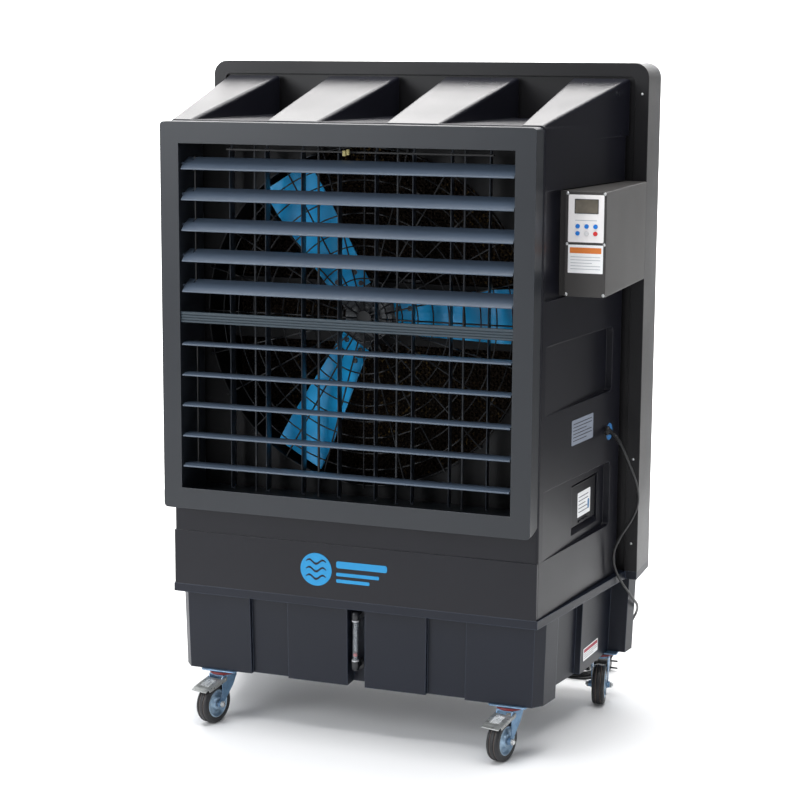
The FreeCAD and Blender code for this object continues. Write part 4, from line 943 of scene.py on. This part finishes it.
HOUSING_SCREWS = ((0.5600, 0.4250), (0.5600, 0.6400), (0.5600, 1.5400),
                  (-0.5600, 0.4250), (-0.5600, 1.5400))


def make_housing_screws():
    low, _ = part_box("pad_housing")

    def screws(shape):
        for x, z in HOUSING_SCREWS:
            add_screw(shape, front_frame(x, low[1], z), 0.0030, 0.0016)
    bmesh_piece("housing_screws", screws, "bright", ROOT, smooth=True)


make_labels()
make_emblem()
make_connector()
make_gland_tag()
make_housing_screws()


# ------------------------------------------------------------------ level gauge
def make_gauge():
    low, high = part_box("level_gauge")
    x = (low[0] + high[0]) / 2
    y = low[1] + 0.010
    z_low, z_high = low[2] + 0.019, high[2] - 0.019

    tube_profile = [(0.0070, 0.0), (0.0070, z_high - z_low), (0.0056, z_high - z_low), (0.0056, 0.0)]
    tube = bmesh_piece("gauge_tube", lambda s: add_turned_ring(s, tube_profile,
                                                                Matrix.Translation((x, y, z_low)), 40),
                       "glass", ROOT, smooth=True)
    split_edges(tube, 40)

    def elbows(shape):
        for way, z in ((1, low[2] + 0.014), (-1, high[2] - 0.014)):
            cup = [(0.0010, 0.0046 * way), (0.0072, 0.0046 * way), (0.0072, 0.0125 * way),
                   (0.0098, 0.0120 * way), (0.0102, 0.0030 * way), (0.0098, -0.0060 * way),
                   (0.0070, -0.0092 * way), (0.0010, -0.0100 * way)]
            rings = add_lathe(shape, cup, Matrix.Translation((x, y, z)), 36)
            close_ring(shape, rings[-1])
            close_ring(shape, rings[0])
            depth = high[1] - y - 0.0004
            back = basis((x, y, z), (1, 0, 0), (0, 0, 1)) @ Matrix.Rotation(math.radians(180), 4, "X")
            stub = [(0.0072, 0.004), (0.0072, depth - 0.005), (0.0135, depth - 0.0045),
                    (0.0140, depth - 0.0035), (0.0140, depth - 0.0005)]
            add_turned_solid(shape, stub, back, 36)
    split_edges(bmesh_piece("gauge_elbows", elbows, "elbow", ROOT, smooth=True), 40)

    def collars(shape):
        for z in (z_low + 0.0077, z_high - 0.0115):
            add_turned_ring(shape, [(0.0071, 0.0), (0.0088, 0.0004), (0.0088, 0.0034), (0.0071, 0.0038)],
                            Matrix.Translation((x, y, z)), 32)
    bmesh_piece("gauge_collars", collars, "collar", ROOT, smooth=True)
    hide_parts("level_gauge")


make_gauge()


# ------------------------------------------------------------------ cooling pad
PAD_CELL = (0.014, 0.0085)
PAD_DEPTH = 0.009
PAD_COLUMNS, PAD_ROWS = 260, 276


def pad_relief(x, z):
    """Depth of the honeycomb mouth at a point: lens-shaped cells in offset rows."""
    row = math.floor(z / PAD_CELL[1])
    across = x / PAD_CELL[0] + 0.5 * (row % 2)
    wave = abs(math.sin(math.pi * across))
    upright = abs(math.sin(math.pi * z / PAD_CELL[1]))
    rough = 0.35 * noise.noise(Vector((x * 60, z * 60, 0.0)))
    return max(0.0, min(1.0, wave * upright * 1.5 + rough)) * PAD_DEPTH


def make_pad():
    low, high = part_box("cooling_pad")
    columns, rows = PAD_COLUMNS, PAD_ROWS
    vertices, faces = [], []
    for face_y, way in ((low[1], 1), (high[1], -1)):
        base = len(vertices)
        for row in range(rows + 1):
            z = low[2] + (high[2] - low[2]) * row / rows
            for column in range(columns + 1):
                x = low[0] + (high[0] - low[0]) * column / columns
                rim = row in (0, rows) or column in (0, columns)
                vertices.append((x, face_y + way * (0 if rim else pad_relief(x, z)), z))
        for row in range(rows):
            for column in range(columns):
                a = base + row * (columns + 1) + column
                quad = (a, a + 1, a + columns + 2, a + columns + 1)
                faces.append(quad if way == 1 else tuple(reversed(quad)))
    join_rims(faces, columns, rows)
    pad = mesh_piece("pad_honeycomb", vertices, faces, "pad", ROOT)
    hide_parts("cooling_pad")


def join_rims(faces, columns, rows):
    """Side walls between the pad's front and back faces."""
    offset = (columns + 1) * (rows + 1)
    rim = list(range(columns + 1))
    rim += [row * (columns + 1) + columns for row in range(1, rows + 1)]
    rim += [rows * (columns + 1) + column for column in range(columns - 1, -1, -1)]
    rim += [row * (columns + 1) for row in range(rows - 1, 0, -1)]
    for here, after in zip(rim, rim[1:] + rim[:1]):
        faces.append((here, here + offset, after + offset, after))


make_pad()


# ------------------------------------------------------------------ studio
def add_area(name, place, target, size, power, colour=(1, 1, 1)):
    light = bpy.data.lights.new(name, "AREA")
    light.shape = "RECTANGLE"
    light.size, light.size_y = size
    light.energy = power
    light.color = colour
    made = bpy.data.objects.new(name, light)
    bpy.context.scene.collection.objects.link(made)
    made.location = place
    made.rotation_euler = (Vector(target) - Vector(place)).to_track_quat("-Z", "Y").to_euler()


STUDIO_HALF_WIDTH = 9.0
# the wall's white stretch, a dimmer card beside it and a black flag for the side faces
WALL_STRETCHES = (("wall", -5.0, 1.0, 1.05), ("card", 1.0, 2.1, 0.25), ("flag", 2.1, 8.0, 0.03))
STUDIO_FRONT = -8.0
STUDIO_BACK = 3.2
STUDIO_HEIGHT = 6.5
SWEEP_RADIUS = 1.2


def make_backdrop():
    """Pale floor that curves up into a softly glowing wall behind."""
    floor_look = Look("studio_floor", (0.88, 0.88, 0.88), 0.8)
    floor_look.mottle(1.5, 0.01)
    floor_look.roughen(0.5, 0.05)
    LOOKS["floor"] = floor_look.done()
    bend = STUDIO_BACK - SWEEP_RADIUS
    add_sheet("floor", [(STUDIO_FRONT, 0), (bend, 0)], (-STUDIO_HALF_WIDTH, STUDIO_HALF_WIDTH))
    rise = []
    for step in range(17):
        angle = math.radians(90 * step / 16)
        rise.append((bend + SWEEP_RADIUS * math.sin(angle), SWEEP_RADIUS * (1 - math.cos(angle))))
    rise.append((STUDIO_BACK, STUDIO_HEIGHT))
    for name, start, stop, glow in WALL_STRETCHES:
        look = Look("studio_" + name, (0.80, 0.80, 0.80) if glow > 1 else (0.02, 0.02, 0.02), 0.9)
        look.mottle(1.5, 0.01)
        look.shader.inputs["Emission Color"].default_value = (1, 1, 1, 1)
        look.shader.inputs["Emission Strength"].default_value = glow
        LOOKS[name] = look.done()
        add_sheet(name, rise, (start, stop))


def add_sheet(name, outline, ends):
    """Studio surface swept sideways along an outline of depths and heights."""
    vertices = [(x, y, z) for y, z in outline for x in ends]
    faces = [(2 * k, 2 * k + 1, 2 * k + 3, 2 * k + 2) for k in range(len(outline) - 1)]
    mesh = bpy.data.meshes.new("studio_" + name)
    mesh.from_pydata(vertices, [], faces)
    mesh.polygons.foreach_set("use_smooth", [True] * len(faces))
    mesh.materials.append(LOOKS[name])
    made = bpy.data.objects.new("studio_" + name, mesh)
    bpy.context.scene.collection.objects.link(made)


WORLD_LIGHT = 0.50


def make_studio():
    make_backdrop()
    world = bpy.data.worlds.new("studio")
    bpy.context.scene.world = world
    world.use_nodes = True
    world.node_tree.nodes["Background"].inputs[0].default_value = (0.92, 0.95, 1.0, 1)
    world.node_tree.nodes["Background"].inputs[1].default_value = WORLD_LIGHT
    add_area("top_light", (0.0, 0.0, 4.6), (0, 0, 0), (4.5, 4.0), 330)
    add_area("back_light", (-0.7, 2.9, 3.2), (-0.1, 0.0, 1.45), (4.2, 1.3), 34, (1.0, 0.96, 0.92))
    add_area("key_light", (-2.8, -4.4, 2.8), (-0.2, -0.2, 0.9), (3.0, 3.0), 152, (0.96, 0.98, 1.0))
    bpy.context.scene.view_settings.view_transform = "Standard"


make_studio()

bpy.context.view_layer.update()
